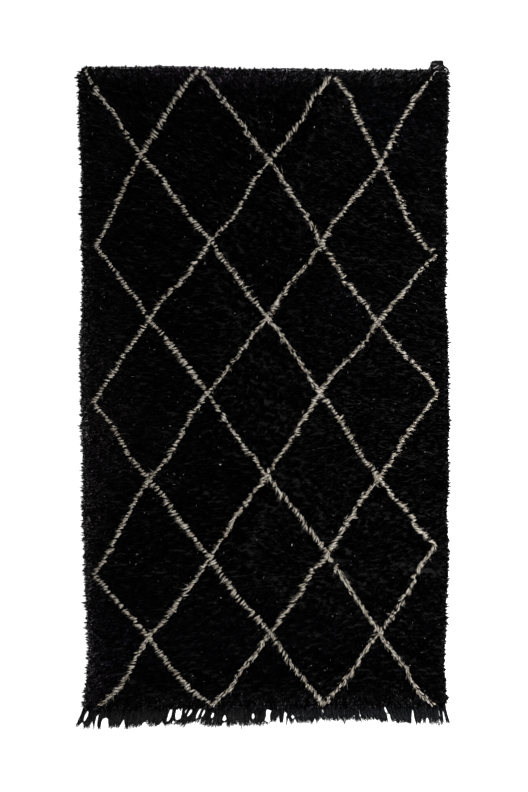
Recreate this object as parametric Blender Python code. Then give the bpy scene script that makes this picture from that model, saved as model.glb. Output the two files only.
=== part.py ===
"""A black shag rug lying flat, with a bare warp fringe at its lower end and a knotted top corner.

Metres, +Z up, +Y from the fringe to the top end. The rug lies on the plane Z = 0 with the middle
of its underside at the origin. Three pieces are made:

- rug_field: the ground weave with its knotted pile, one lumpy slab with locks of pile at its rim
- bottom_fringe: the loose warp ends, locks that stand apart but for their roots in one strip
- corner_tuft: the knotted ends at the top right corner, with one end that curls round
"""

import bisect
import math
import random
from typing import NamedTuple

import bmesh
import bpy
from mathutils import Matrix, Vector, noise

# The pile.
PILE_HEIGHT = 0.0195  # mean height of the pile's top over the floor
PILE_LUMP = 0.0042  # rise of the highest lumps over that height
LUMP_SPACING = 0.13  # from one lump to the next
SHOULDER_WIDTH = 0.016  # how far in from the rim the pile reaches its full height
RIM_HEIGHT = 0.009  # height of the pile at the rim itself
FIELD_COLUMNS = 20
FIELD_ROWS = 34
RIM_PARTS = 4  # stretches of rim in one cell of the field, every other one with a lock

# The locks of pile that stick out at the rim.
LOCK_TIP_WIDTH = 0.005
LOCK_TIP_HEIGHT = 0.002
LOCK_SWAY = 0.005  # how far a lock's tip wanders along the rim
RIM_WAVER = 0.0015  # how far the rim wanders in and out between locks

# The fringe.
GAP = 0.0003  # clearance between neighbouring pieces
STRIP_DEPTH = 0.008
STRIP_HEIGHT = 0.006
FRINGE_LOCKS = 104
LOCK_SHARE = 0.86  # share of the strip's length that the locks' roots take up
FRINGE_TIP_SHARE = 0.42  # width of a lock's tip over the width of its root
FRINGE_TIP_HEIGHT = 0.0025
FRINGE_UNEVEN = 0.006  # how far the tips of neighbouring locks differ

SEED = 26


class Station(NamedTuple):
    """One point of a side of the rug: how far along that side, and where the side is there."""

    along: float
    at: float


class Reach(NamedTuple):
    """How far the locks of one side stick out, from the shortest to the longest."""

    shortest: float
    longest: float


class Break(NamedTuple):
    """A stretch of the fringe where the locks have worn short."""

    middle: float
    width: float
    length: float


class Spot(NamedTuple):
    """A place on the floor."""

    x: float
    y: float


# The pile's sides, locks left out. Left and right: along Y, at X. Top and bottom: along X, at Y.
# These places are about a middle chosen by eye, and the finished rug is moved to its true middle.
LEFT_SIDE = (
    Station(-1.256, -0.714),
    Station(-1.200, -0.708),
    Station(-1.130, -0.688),
    Station(-0.930, -0.685),
    Station(-0.800, -0.698),
    Station(-0.640, -0.708),
    Station(-0.500, -0.717),
    Station(-0.220, -0.714),
    Station(-0.100, -0.724),
    Station(0.260, -0.724),
    Station(0.450, -0.709),
    Station(0.930, -0.716),
    Station(1.020, -0.724),
    Station(1.310, -0.732),
)
RIGHT_SIDE = (
    Station(-1.256, 0.732),
    Station(-1.210, 0.737),
    Station(-1.150, 0.725),
    Station(-0.980, 0.725),
    Station(-0.800, 0.733),
    Station(-0.500, 0.736),
    Station(-0.200, 0.742),
    Station(-0.118, 0.747),
    Station(-0.060, 0.740),
    Station(0.300, 0.739),
    Station(0.385, 0.725),
    Station(0.900, 0.733),
    Station(1.030, 0.737),
    Station(1.130, 0.743),
    Station(1.310, 0.743),
)
TOP_SIDE = (
    Station(-0.740, 1.310),
    Station(-0.640, 1.313),
    Station(-0.240, 1.312),
    Station(-0.100, 1.299),
    Station(0.020, 1.299),
    Station(0.150, 1.303),
    Station(0.310, 1.301),
    Station(0.380, 1.295),
    Station(0.500, 1.300),
    Station(0.620, 1.298),
    Station(0.750, 1.298),
)
BOTTOM_SIDE = (
    Station(-0.740, -1.2560),
    Station(0.760, -1.2420),
)
TOP_LEFT_ROUNDING = 0.036
TOP_RIGHT_ROUNDING = 0.030

LOCK_REACH = {
    "left": Reach(0.007, 0.013),
    "right": Reach(0.004, 0.009),
    "top": Reach(0.002, 0.005),
}
SPIKE_Y = 1.262  # the lock of the left side nearest to this place sticks out furthest
SPIKE_REACH = 0.026
PLAIN_CORNER_X = 0.655  # from here to the right end, the top side is even and has no locks
PLAIN_CORNER_Y = 1.262  # from here to the top, the right side has no locks

# The fringe's tips: along X, at Y. Its sweep: along X, how far a tip lies aside of its root.
FRINGE_TIPS = (
    Station(-0.720, -1.331),
    Station(-0.560, -1.326),
    Station(-0.440, -1.335),
    Station(-0.240, -1.332),
    Station(-0.060, -1.326),
    Station(0.030, -1.309),
    Station(0.270, -1.315),
    Station(0.550, -1.306),
    Station(0.690, -1.302),
    Station(0.735, -1.320),
)
FRINGE_SWEEP = (
    Station(-0.720, -0.022),
    Station(-0.600, -0.018),
    Station(-0.360, -0.030),
    Station(-0.260, -0.036),
    Station(-0.180, -0.006),
    Station(0.000, 0.002),
    Station(0.300, 0.005),
    Station(0.500, 0.026),
    Station(0.620, 0.010),
    Station(0.735, 0.018),
)
FRINGE_BREAKS = (
    Break(-0.608, 0.030, 0.036),
    Break(-0.536, 0.016, 0.044),
    Break(-0.316, 0.018, 0.012),
    Break(-0.148, 0.020, 0.026),
    Break(0.032, 0.014, 0.020),
    Break(0.128, 0.010, 0.030),
    Break(0.500, 0.010, 0.024),
)

# The corner tuft: its strip from left to right, then the tips of its ends in that order.
TUFT_LEFT = 0.674
TUFT_RIGHT = 0.722
TUFT_DEPTH = 0.013
TUFT_HEIGHT = 0.009
TUFT_TIPS = (
    Spot(0.668, 1.325),
    Spot(0.679, 1.335),
    Spot(0.687, 1.337),
    Spot(0.695, 1.333),
    Spot(0.704, 1.335),
    Spot(0.714, 1.337),
    Spot(0.723, 1.331),
)
# The last end curls round the corner, from its root to its tip.
CURL = (
    Spot(0.7265, 1.3200),
    Spot(0.7330, 1.3215),
    Spot(0.7410, 1.3150),
    Spot(0.7455, 1.3060),
    Spot(0.7475, 1.2970),
    Spot(0.7480, 1.2880),
)
CURL_WIDTH = 0.0042


def between(stations: tuple[Station, ...], along: float) -> float:
    """Where a side is at this distance along it, eased from each station to the next."""
    places = [station.along for station in stations]
    right = min(max(bisect.bisect(places, along), 1), len(stations) - 1)
    low = stations[right - 1]
    high = stations[right]
    share = min(max((along - low.along) / (high.along - low.along), 0.0), 1.0)
    eased = share * share * (3.0 - 2.0 * share)
    return low.at + (high.at - low.at) * eased


def bottom_side(x: float) -> float:
    """The pile's lower side is straight, so that the fringe's strip lies along it."""
    low, high = BOTTOM_SIDE
    return low.at + (high.at - low.at) * (x - low.along) / (high.along - low.along)


def material(name: str, colour: tuple[float, float, float], roughness: float) -> bpy.types.Material:
    """A matt wool in one colour."""
    made = bpy.data.materials.new(name)
    made.use_nodes = True
    made.diffuse_color = (*colour, 1.0)
    surface = made.node_tree.nodes["Principled BSDF"]
    surface.inputs["Base Color"].default_value = (*colour, 1.0)
    surface.inputs["Roughness"].default_value = roughness
    surface.inputs["Metallic"].default_value = 0.0
    return made


def finish_piece(
    mesh: bmesh.types.BMesh, name: str, wool: bpy.types.Material, group: bpy.types.Collection
) -> None:
    """Turn a finished mesh into the named object, with its faces pointing out."""
    bmesh.ops.recalc_face_normals(mesh, faces=mesh.faces[:])
    data = bpy.data.meshes.new(name)
    mesh.to_mesh(data)
    mesh.free()
    data.materials.append(wool)
    group.objects.link(bpy.data.objects.new(name, data))


def line_shares(count: int, side_length: float) -> list[float]:
    """Where the lines between the cells lie, as shares of the side: narrow cells at the rim."""
    shoulder = SHOULDER_WIDTH / side_length
    inner = count - 2
    middle = [shoulder + (1.0 - 2.0 * shoulder) * step / inner for step in range(inner + 1)]
    return [0.0, *middle, 1.0]


def share_at(shares: list[float], position: float) -> float:
    """The share of the side at a position counted in cells, whole or part."""
    cell = min(int(position), len(shares) - 2)
    part = position - cell
    return shares[cell] + (shares[cell + 1] - shares[cell]) * part


def round_corner(spot: Spot, corner: Spot, radius: float) -> Spot:
    """Pull a point near a top corner in, so that the corner's square becomes a quarter circle."""
    outward = math.copysign(1.0, corner.x)
    centre = Spot(corner.x - outward * radius, corner.y - radius)
    out_x = (spot.x - centre.x) * outward
    out_y = spot.y - centre.y
    if out_x <= 0.0 or out_y <= 0.0:
        return spot
    pull = max(out_x, out_y) / math.hypot(out_x, out_y)
    return Spot(centre.x + outward * out_x * pull, centre.y + out_y * pull)


def field_spot(across: float, up: float) -> Spot:
    """The place on the floor of a point given as shares of the rug's width and length."""
    rough_x = LEFT_SIDE[-1].at + (RIGHT_SIDE[-1].at - LEFT_SIDE[-1].at) * across
    low = bottom_side(rough_x)
    y = low + (between(TOP_SIDE, rough_x) - low) * up
    left = between(LEFT_SIDE, y)
    x = left + (between(RIGHT_SIDE, y) - left) * across
    if up < 1e-6:
        return Spot(x, bottom_side(x))
    top_left = Spot(LEFT_SIDE[-1].at, TOP_SIDE[0].at)
    top_right = Spot(RIGHT_SIDE[-1].at, TOP_SIDE[-1].at)
    spot = round_corner(Spot(x, y), top_left, TOP_LEFT_ROUNDING)
    return round_corner(spot, top_right, TOP_RIGHT_ROUNDING)


def pile_height(x: float, y: float) -> float:
    """The lumpy height of the pile's top over one point of the floor."""
    lump = noise.noise(Vector((x / LUMP_SPACING, y / LUMP_SPACING, 0.0)))
    return PILE_HEIGHT + PILE_LUMP * lump


def grow_lock(
    mesh: bmesh.types.BMesh, root: bmesh.types.BMFace, path: list[Vector], sizes: list[tuple[float, float]]
) -> None:
    """Draw a lock of yarn out of a face of the rim, level on the floor.

    The path's points are the middle of the lock's sections on the floor, past its root, and each
    section has its width and its height. The section stands across the way to its point.
    """
    middle = root.calc_center_median()
    before = Vector((middle.x, middle.y, 0.0))
    face = root
    for point, (width, height) in zip(path, sizes):
        way = (point - before).normalized()
        across = Vector((way.y, -way.x, 0.0))
        sides = [(corner.co - before).dot(across) > 0.0 for corner in face.verts]
        grown = bmesh.ops.extrude_discrete_faces(mesh, faces=[face])["faces"][0]
        for corner, far_side in zip(grown.verts, sides):
            offset = 0.5 * width if far_side else -0.5 * width
            raised = height if corner.co.z > 1e-6 else 0.0
            corner.co = point + across * offset + Vector((0.0, 0.0, raised))
        face = grown
        before = point


def side_of(face: bmesh.types.BMFace) -> str:
    """Which side of the rug a face of the rim belongs to."""
    out = face.normal
    if abs(out.y) > abs(out.x):
        return "top" if out.y > 0.0 else "bottom"
    return "left" if out.x < 0.0 else "right"


def rim_faces(mesh: bmesh.types.BMesh, shortest: float) -> list[bmesh.types.BMFace]:
    """The upright faces of the rim at least this long, in order round the rug."""
    upright = [face for face in mesh.faces if abs(face.normal.z) < 0.5 and len(face.verts) == 4]
    long_ones = [face for face in upright if rim_length(face) >= shortest]
    return sorted(long_ones, key=lambda face: math.atan2(*face.calc_center_median().xy))


def rim_length(face: bmesh.types.BMFace) -> float:
    """The length of a rim face along the floor."""
    return max(Vector((edge.verts[0].co - edge.verts[1].co).xy).length for edge in face.edges)


def in_narrow_cell(edge: bmesh.types.BMEdge) -> bool:
    """Whether an edge of the even sheet of cells lies along the end of a shoulder."""
    middle = (edge.verts[0].co + edge.verts[1].co) / 2.0
    runs_across = abs(edge.verts[0].co.x - edge.verts[1].co.x) > 1e-6
    from_middle = abs(middle.x) if runs_across else abs(middle.y)
    cells = FIELD_COLUMNS if runs_across else FIELD_ROWS
    return from_middle > 0.5 - 1.0 / cells


def make_field_slab(draw: random.Random) -> bmesh.types.BMesh:
    """The lumpy slab of pile on its ground weave: a sheet of cells, a shoulder and a flat base."""
    mesh = bmesh.new()
    bmesh.ops.create_grid(mesh, x_segments=FIELD_COLUMNS, y_segments=FIELD_ROWS, size=0.5)
    long_rim = [edge for edge in mesh.edges if edge.is_boundary and not in_narrow_cell(edge)]
    bmesh.ops.subdivide_edges(mesh, edges=long_rim, cuts=RIM_PARTS - 1)
    rug_width = RIGHT_SIDE[-1].at - LEFT_SIDE[-1].at
    rug_length = TOP_SIDE[0].at - BOTTOM_SIDE[0].at
    across_shares = line_shares(FIELD_COLUMNS, rug_width)
    up_shares = line_shares(FIELD_ROWS, rug_length)
    for corner in mesh.verts:
        across = share_at(across_shares, (corner.co.x + 0.5) * FIELD_COLUMNS)
        up = share_at(up_shares, (corner.co.y + 0.5) * FIELD_ROWS)
        x, y = field_spot(across, up)
        waver = draw.uniform(-RIM_WAVER, RIM_WAVER)
        at_side = across < 1e-6 or across > 1.0 - 1e-6
        at_top = up > 1.0 - 1e-6
        if at_side and 1e-6 < up < 1.0 - 1e-6:
            x += waver
        if at_top and x < PLAIN_CORNER_X:
            y += waver
        height = RIM_HEIGHT + waver if corner.is_boundary else pile_height(x, y)
        corner.co = Vector((x, y, height))
    top_rim = [edge for edge in mesh.edges if edge.is_boundary]
    skirt = bmesh.ops.extrude_edge_only(mesh, edges=top_rim)["geom"]
    for corner in skirt:
        if isinstance(corner, bmesh.types.BMVert):
            corner.co.z = 0.0
    floor_rim = [edge for edge in mesh.edges if edge.is_boundary]
    bmesh.ops.contextual_create(mesh, geom=floor_rim)
    bmesh.ops.recalc_face_normals(mesh, faces=mesh.faces[:])
    return mesh


def add_rim_locks(mesh: bmesh.types.BMesh, draw: random.Random) -> int:
    """Draw a lock out of every other stretch of the left, right and top rim."""
    stretches = rim_faces(mesh, SHOULDER_WIDTH * 0.7)
    spike = min(
        (face for face in stretches if side_of(face) == "left"),
        key=lambda face: abs(face.calc_center_median().y - SPIKE_Y),
    )
    chosen = [
        face
        for place, face in enumerate(stretches)
        if face == spike or (place % 2 == 0 and side_of(face) in LOCK_REACH)
    ]
    made = 0
    roots = set()
    for face in chosen:
        side = side_of(face)
        middle = face.calc_center_median()
        in_plain_top = side == "top" and middle.x > PLAIN_CORNER_X
        in_plain_side = side == "right" and middle.y > PLAIN_CORNER_Y
        if in_plain_top or in_plain_side or any(corner in roots for corner in face.verts):
            continue
        roots.update(face.verts)
        reach = SPIKE_REACH if face == spike else draw.uniform(*LOCK_REACH[side])
        out = Vector((face.normal.x, face.normal.y, 0.0)).normalized()
        along = Vector((out.y, -out.x, 0.0))
        foot = Vector((middle.x, middle.y, 0.0))
        tip = foot + out * reach + along * draw.uniform(-LOCK_SWAY, LOCK_SWAY)
        grow_lock(mesh, face, [tip], [(LOCK_TIP_WIDTH, LOCK_TIP_HEIGHT)])
        made += 1
    return made


def make_strip(inner: tuple[Spot, Spot], depth: float, height: float, parts: int) -> bmesh.types.BMesh:
    """A narrow strip along one side, its outer face cut into stretches of root and gap by turns.

    Args:
        inner: the left and right ends of the strip's inner edge.
        depth: from the inner edge to the outer face, above 0 where the strip faces up the rug.
        height: from the floor to the strip's top.
        parts: how many locks grow from the strip.
    """
    forward = math.copysign(1.0, depth)
    left, right = inner[0].x, inner[1].x
    mesh = bmesh.new()
    bmesh.ops.create_cube(mesh, size=1.0)
    outer = [
        edge
        for edge in mesh.edges
        if all(corner.co.y * forward > 0.0 for corner in edge.verts)
        and abs(edge.verts[0].co.z - edge.verts[1].co.z) < 1e-6
    ]
    cuts = 2 * parts
    bmesh.ops.subdivide_edges(mesh, edges=outer, cuts=cuts)
    pitch = (right - left) / parts
    root = pitch * LOCK_SHARE
    for corner in mesh.verts:
        step = round((corner.co.x + 0.5) * (cuts + 1))
        lock, is_far_side = divmod(max(step - 1, 0), 2)
        inset = 0.5 * (pitch - root)
        if step == 0:
            x = left
        elif step == cuts + 1:
            x = right
        else:
            x = left + lock * pitch + inset + (root if is_far_side else 0.0)
        y = inner[0].y + (inner[1].y - inner[0].y) * (x - left) / (right - left)
        if corner.co.y * forward > 0.0:
            y += depth
        corner.co = Vector((x, y, height if corner.co.z > 0.0 else 0.0))
    bmesh.ops.recalc_face_normals(mesh, faces=mesh.faces[:])
    return mesh


def root_faces(mesh: bmesh.types.BMesh, forward: float) -> list[bmesh.types.BMFace]:
    """The stretches of a strip's outer face from which locks grow, from left to right."""
    outer = [face for face in mesh.faces if face.normal.y * forward > 0.9]
    in_order = sorted(outer, key=lambda face: face.calc_center_median().x)
    return in_order[1::2]


def fringe_length(x: float, draw: random.Random) -> float:
    """How long the lock that leaves the strip at this place is, seen straight down the rug."""
    for worn in FRINGE_BREAKS:
        if abs(x - worn.middle) < 0.5 * worn.width:
            return worn.length
    reach = bottom_side(x) - STRIP_DEPTH - between(FRINGE_TIPS, x)
    return reach + draw.uniform(-FRINGE_UNEVEN, 0.2 * FRINGE_UNEVEN)


def make_rug_field(wool: bpy.types.Material, group: bpy.types.Collection) -> int:
    """The pile field: the slab with its locks. Returns how many locks it has."""
    draw = random.Random(SEED)
    mesh = make_field_slab(draw)
    locks = add_rim_locks(mesh, draw)
    finish_piece(mesh, "rug_field", wool, group)
    return locks


def make_bottom_fringe(wool: bpy.types.Material, group: bpy.types.Collection) -> int:
    """The warp ends along the lower side: bent locks that lie level on the floor."""
    draw = random.Random(SEED + 1)
    left = LEFT_SIDE[0].at - 0.006
    right = RIGHT_SIDE[0].at + 0.004
    inner = (Spot(left, bottom_side(left) - GAP), Spot(right, bottom_side(right) - GAP))
    mesh = make_strip(inner, -STRIP_DEPTH, STRIP_HEIGHT, FRINGE_LOCKS)
    roots = root_faces(mesh, -1.0)
    width = (right - left) / FRINGE_LOCKS * LOCK_SHARE
    for face in roots:
        middle = face.calc_center_median()
        length = fringe_length(middle.x, draw)
        full = bottom_side(middle.x) - STRIP_DEPTH - between(FRINGE_TIPS, middle.x)
        sweep = between(FRINGE_SWEEP, middle.x) * length / full
        foot = Vector((middle.x, middle.y, 0.0))
        tip = foot + Vector((sweep + draw.uniform(-0.0015, 0.0015), -length, 0.0))
        knee = foot.lerp(tip, 0.5) + Vector((-0.12 * sweep, 0.0, 0.0))
        sizes = [(0.9 * width, 0.8 * STRIP_HEIGHT), (FRINGE_TIP_SHARE * width, FRINGE_TIP_HEIGHT)]
        grow_lock(mesh, face, [knee, tip], sizes)
    finish_piece(mesh, "bottom_fringe", wool, group)
    return len(roots)


def make_corner_tuft(wool: bpy.types.Material, group: bpy.types.Collection) -> int:
    """The knotted ends at the top right corner: short locks, and one end that curls round."""
    inner_y = TOP_SIDE[-1].at + GAP
    inner = (Spot(TUFT_LEFT, inner_y), Spot(TUFT_RIGHT, inner_y))
    mesh = make_strip(inner, TUFT_DEPTH, TUFT_HEIGHT, len(TUFT_TIPS) + 1)
    roots = root_faces(mesh, 1.0)
    width = (TUFT_RIGHT - TUFT_LEFT) / len(roots) * LOCK_SHARE
    for face, spot in zip(roots, TUFT_TIPS):
        middle = face.calc_center_median()
        tip = Vector((spot.x, spot.y, 0.0))
        knee = Vector((middle.x, middle.y, 0.0)).lerp(tip, 0.5)
        sizes = [(0.9 * width, 0.8 * TUFT_HEIGHT), (0.6 * width, FRINGE_TIP_HEIGHT)]
        grow_lock(mesh, face, [knee, tip], sizes)
    curl = [Vector((spot.x, spot.y, 0.0)) for spot in CURL]
    grow_lock(mesh, roots[-1], curl, [(CURL_WIDTH, CURL_WIDTH)] * len(curl))
    finish_piece(mesh, "corner_tuft", wool, group)
    return len(roots)


def centre_on_origin(group: bpy.types.Collection) -> Vector:
    """Move all pieces together, so that the middle of the box round them is over the origin."""
    spots = [corner.co.copy() for piece in group.objects for corner in piece.data.vertices]
    across = [spot.x for spot in spots]
    along = [spot.y for spot in spots]
    shift = Vector((-0.5 * (min(across) + max(across)), -0.5 * (min(along) + max(along)), 0.0))
    for piece in group.objects:
        piece.data.transform(Matrix.Translation(shift))
    return shift


def main() -> None:
    """Clear the scene and make the rug."""
    for old in list(bpy.data.objects):
        bpy.data.objects.remove(old, do_unlink=True)
    group = bpy.data.collections.new("beni_ourain_rug")
    bpy.context.scene.collection.children.link(group)
    pile_wool = material("black pile wool", (0.010, 0.009, 0.009), 0.95)
    fringe_wool = material("black warp yarn", (0.008, 0.008, 0.008), 0.9)
    tuft_wool = material("dark grey corner yarn", (0.03, 0.029, 0.028), 0.9)
    locks = make_rug_field(pile_wool, group)
    locks += make_bottom_fringe(fringe_wool, group)
    locks += make_corner_tuft(tuft_wool, group)
    shift = centre_on_origin(group)
    print(f"{locks} locks and loose ends, moved by {shift.x * 1000:.2f}, {shift.y * 1000:.2f} mm")


main()
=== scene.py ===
"""A black hand-knotted wool rug with an ivory lattice, its warp fringe and its knotted top corner.

Everything is in metres, +Z up and +Y from the fringe to the top end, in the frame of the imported
model. The rug lies on the plane Z = 0 with the middle of its underside at the origin. These pieces
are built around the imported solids:

- ground_weave: the woven ground with a ridge on its underside for each row of knots
- knot_backs: the backs of the ivory knots, which show the lattice on the underside
- black_pile_1 to black_pile_5: the black pile, four strands to a knot, in bands of knot rows
- ivory_pile and ivory_fuzz: the ivory yarn ends that draw the lattice, and finer fibres on them
- rim_pile, rim_locks and rim_hairs: the strands that close the pile's rim, and what stands out of it
- pile_lint: stray pale fibres that lie on the pile
- warp_mat, warp_yarns, fringe_wisps and fringe_felt: the fringe's matted locks, the single yarns and
  frayed ends on them, and the short fibres that are felted over them
- corner_knot, corner_ends, corner_loop and corner_threads: the knotted yarn at the top right corner,
  its cut ends, the ends that curl, and pale threads
"""

import sys
import logging
import math
from dataclasses import dataclass, field
from enum import Enum
from typing import NamedTuple, TypeVar

import bpy
import numpy as np
from numpy.typing import NDArray
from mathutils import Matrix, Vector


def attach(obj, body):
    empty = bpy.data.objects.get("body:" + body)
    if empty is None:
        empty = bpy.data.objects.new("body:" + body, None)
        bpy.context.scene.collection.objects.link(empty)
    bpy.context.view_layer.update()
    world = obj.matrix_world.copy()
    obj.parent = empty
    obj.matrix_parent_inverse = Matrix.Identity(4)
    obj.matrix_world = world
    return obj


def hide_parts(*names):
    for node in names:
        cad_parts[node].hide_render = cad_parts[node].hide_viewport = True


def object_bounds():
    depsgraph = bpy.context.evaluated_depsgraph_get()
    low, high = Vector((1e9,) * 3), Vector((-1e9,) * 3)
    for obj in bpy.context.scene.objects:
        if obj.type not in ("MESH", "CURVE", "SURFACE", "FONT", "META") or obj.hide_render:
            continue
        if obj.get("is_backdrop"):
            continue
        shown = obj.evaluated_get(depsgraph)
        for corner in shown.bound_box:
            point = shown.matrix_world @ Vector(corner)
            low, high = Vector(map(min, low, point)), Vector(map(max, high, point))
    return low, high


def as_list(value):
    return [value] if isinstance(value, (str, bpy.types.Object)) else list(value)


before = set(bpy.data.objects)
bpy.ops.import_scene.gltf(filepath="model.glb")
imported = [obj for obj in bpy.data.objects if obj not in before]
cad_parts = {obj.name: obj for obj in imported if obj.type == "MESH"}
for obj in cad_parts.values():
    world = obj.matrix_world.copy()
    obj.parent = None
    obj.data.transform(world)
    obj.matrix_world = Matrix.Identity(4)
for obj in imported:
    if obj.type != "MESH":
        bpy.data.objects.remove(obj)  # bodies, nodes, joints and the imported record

Array = NDArray[np.float64]
Indices = NDArray[np.int32]
Mask = NDArray[np.bool_]
Draw = np.random.Generator
Piece = bpy.types.Object
Material = bpy.types.Material
Row = TypeVar("Row")

log = logging.getLogger("rug")

BODY = "root"
MM = 0.001
TURN = 2 * math.pi
BAKE_MAP = "OFBake"
FIELD_WIDE, FIELD_LONG = 1.455, 2.555  # the pile's mean width and length
STRAND_SPREAD = 0.15  # how much the strands of one sort differ in width, as a share
DYE = "Dye"  # colour attribute of every strand
ALONG = "Along"  # 0 at a strand's root and 1 at its tip


class Slot(Enum):
    """The record's material slots."""

    PILE = "pile_wool"
    WARP = "warp_yarn"
    CORNER = "corner_yarn"


class Node(Enum):
    """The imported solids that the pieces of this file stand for."""

    FIELD = "rug_field"
    FRINGE = "bottom_fringe"
    CORNER = "corner_tuft"


# ---------------------------------------------------------------------------------------------
# Shapes shared by the sub-assemblies
# ---------------------------------------------------------------------------------------------


def table(kind: type[Row], *values: tuple[object, ...]) -> tuple[Row, ...]:
    """A table of one kind of row, from the values of each row in the order of its fields."""
    return tuple(kind(*row) for row in values)


class Station(NamedTuple):
    """A value at one place along a side of the rug, both in metres."""

    along: float
    at: float


def profile(stations: tuple[Station, ...], along: Array) -> Array:
    """The value between stations, by straight lines from each to the next.

    Args:
        stations: The named places, in rising order along the side.
        along: Where the value is wanted.

    Returns:
        The value at each place.
    """
    return np.interp(along, [s.along for s in stations], [s.at for s in stations])


def eased(share: Array) -> Array:
    """Share, held between 0 and 1, with a soft start and end: 3 s squared less 2 s cubed."""
    held = np.clip(share, 0.0, 1.0)
    return held * held * (3.0 - 2.0 * held)


def wander(x: Array, y: Array, spacing: float, seed: int) -> Array:
    """A smooth value that wanders between about -1 and 1 over the plane.

    It is the sum of nine plane waves, sin(2 pi (x cos h + y sin h) / length + phase), over three,
    each with its own seeded heading h and phase and a length near the spacing.

    Args:
        x: Places across, in metres.
        y: Places up, in metres.
        spacing: About how far apart the waves' crests are, in metres.
        seed: Picks the waves.

    Returns:
        The value at each place.
    """
    draw = np.random.default_rng(seed)
    total = np.zeros(np.broadcast(x, y).shape)
    for heading, phase, length in draw.uniform((0, 0, 0.7), (TURN, TURN, 1.5), (9, 3)):
        over = (x * math.cos(heading) + y * math.sin(heading)) / (length * spacing)
        total += np.sin(TURN * over + phase)
    return total / 3.0


def varied(draw: Draw, count: int, spread: float) -> Array:
    """Factors near 1: one plus the spread times a normal draw that is held within two."""
    return 1 + spread * draw.normal(0, 1, count).clip(-2, 2)


def add_mesh(
    name: str,
    points: Array,
    triangles: Indices,
    uv: Array | None = None,
    dye: Array | None = None,
    along: Array | None = None,
) -> Piece:
    """Puts whole arrays into a new mesh object at the origin.

    Args:
        name: The piece's name.
        points: One row for each vertex.
        triangles: Three vertex numbers for each face, counter-clockwise from outside.
        uv: A place on the bake map for each corner of each face.
        dye: A linear colour for each vertex.
        along: How far along its strand each vertex is.

    Returns:
        The new object, linked to the scene.
    """
    mesh = bpy.data.meshes.new(name)
    mesh.vertices.add(len(points))
    mesh.vertices.foreach_set("co", points.astype(np.float32).ravel())
    mesh.loops.add(triangles.size)
    mesh.loops.foreach_set("vertex_index", triangles.astype(np.int32).ravel())
    mesh.polygons.add(len(triangles))
    mesh.polygons.foreach_set("loop_start", np.arange(0, triangles.size, 3, dtype=np.int32))
    mesh.polygons.foreach_set("use_smooth", np.ones(len(triangles), bool))
    mesh.update(calc_edges=True)
    if uv is not None:
        layer = mesh.uv_layers.new(name=BAKE_MAP)
        layer.uv.foreach_set("vector", uv.astype(np.float32).ravel())
    if dye is not None:
        layer = mesh.attributes.new(DYE, "FLOAT_COLOR", "POINT")
        colours = np.concatenate([dye, np.ones((len(dye), 1))], axis=1)
        layer.data.foreach_set("color", colours.astype(np.float32).ravel())
    if along is not None:
        layer = mesh.attributes.new(ALONG, "FLOAT", "POINT")
        layer.data.foreach_set("value", along.astype(np.float32).ravel())
    piece = bpy.data.objects.new(name, mesh)
    bpy.context.scene.collection.objects.link(piece)
    return piece


def dress(piece: Piece, finish: Material, slot: Slot, *nodes: Node) -> Piece:
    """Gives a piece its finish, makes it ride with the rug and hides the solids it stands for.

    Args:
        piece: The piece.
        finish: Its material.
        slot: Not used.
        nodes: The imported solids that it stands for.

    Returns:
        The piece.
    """
    piece.data.materials.append(finish)
    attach(piece, BODY)
    if nodes:
        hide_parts(*(node.value for node in nodes))
    log.info("%s: %d faces", piece.name, len(piece.data.polygons))
    return piece


def strand_faces(stations: int, sides: int, pointed: bool) -> tuple[Indices, Array]:
    """The faces of one strand, and where their corners lie in the strand's cell of the bake map.

    The rings are numbered from root to tip, with the vertices of each in turn, counter-clockwise
    about the way along. A pointed strand has one vertex before its rings and one after them, and
    the others have a flat cap at each end. In the cell the way round the strand runs across and
    the way along it runs up, and the caps lie in the cell's lower and upper margin.

    Args:
        stations: How many stations the strand has, ends included.
        sides: How many sides it has.
        pointed: Whether both ends are points.

    Returns:
        The triangles, and their corners' places in a cell of 1 by 1.
    """
    first = 1 if pointed else 0
    rings = stations - 2 if pointed else stations
    last = first + rings * sides
    side, end = 0.08, 0.12  # the cell's margins at its sides and at its ends
    faces: list[tuple[int, int, int]] = []
    places: list[tuple[float, float]] = []

    def add(*corners: tuple[int, float, float]) -> None:
        """Adds one triangle from its corners' vertex numbers and cell places."""
        faces.append(tuple(number for number, _, _ in corners))
        places.extend((side + (1 - 2 * side) * u, end + (1 - 2 * end) * v) for _, u, v in corners)

    for j in range(sides):
        near, far, middle = j / sides, (j + 1) / sides, (j + 0.5) / sides
        for ring in range(rings):
            at = (ring + first) / (stations - 1)
            a = (first + ring * sides + j, near, at)
            b = (first + ring * sides + (j + 1) % sides, far, at)
            if ring + 1 < rings:
                after = at + 1 / (stations - 1)
                c = (b[0] + sides, far, after)
                d = (a[0] + sides, near, after)
                add(a, b, c)
                add(a, c, d)
            if pointed and ring == 0:
                add((0, middle, 0.0), b, a)
            if pointed and ring + 1 == rings:
                add((last, middle, 1.0), a, b)
        if not pointed and 0 < j < sides - 1:
            add((0, 0.0, -0.12), (j + 1, far, -0.12), (j, near, -0.03))
            top = last - sides
            add((top, 0.0, 1.03), (top + j, near, 1.03), (top + j + 1, far, 1.12))
    return np.array(faces, np.int32), np.array(places)


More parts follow.
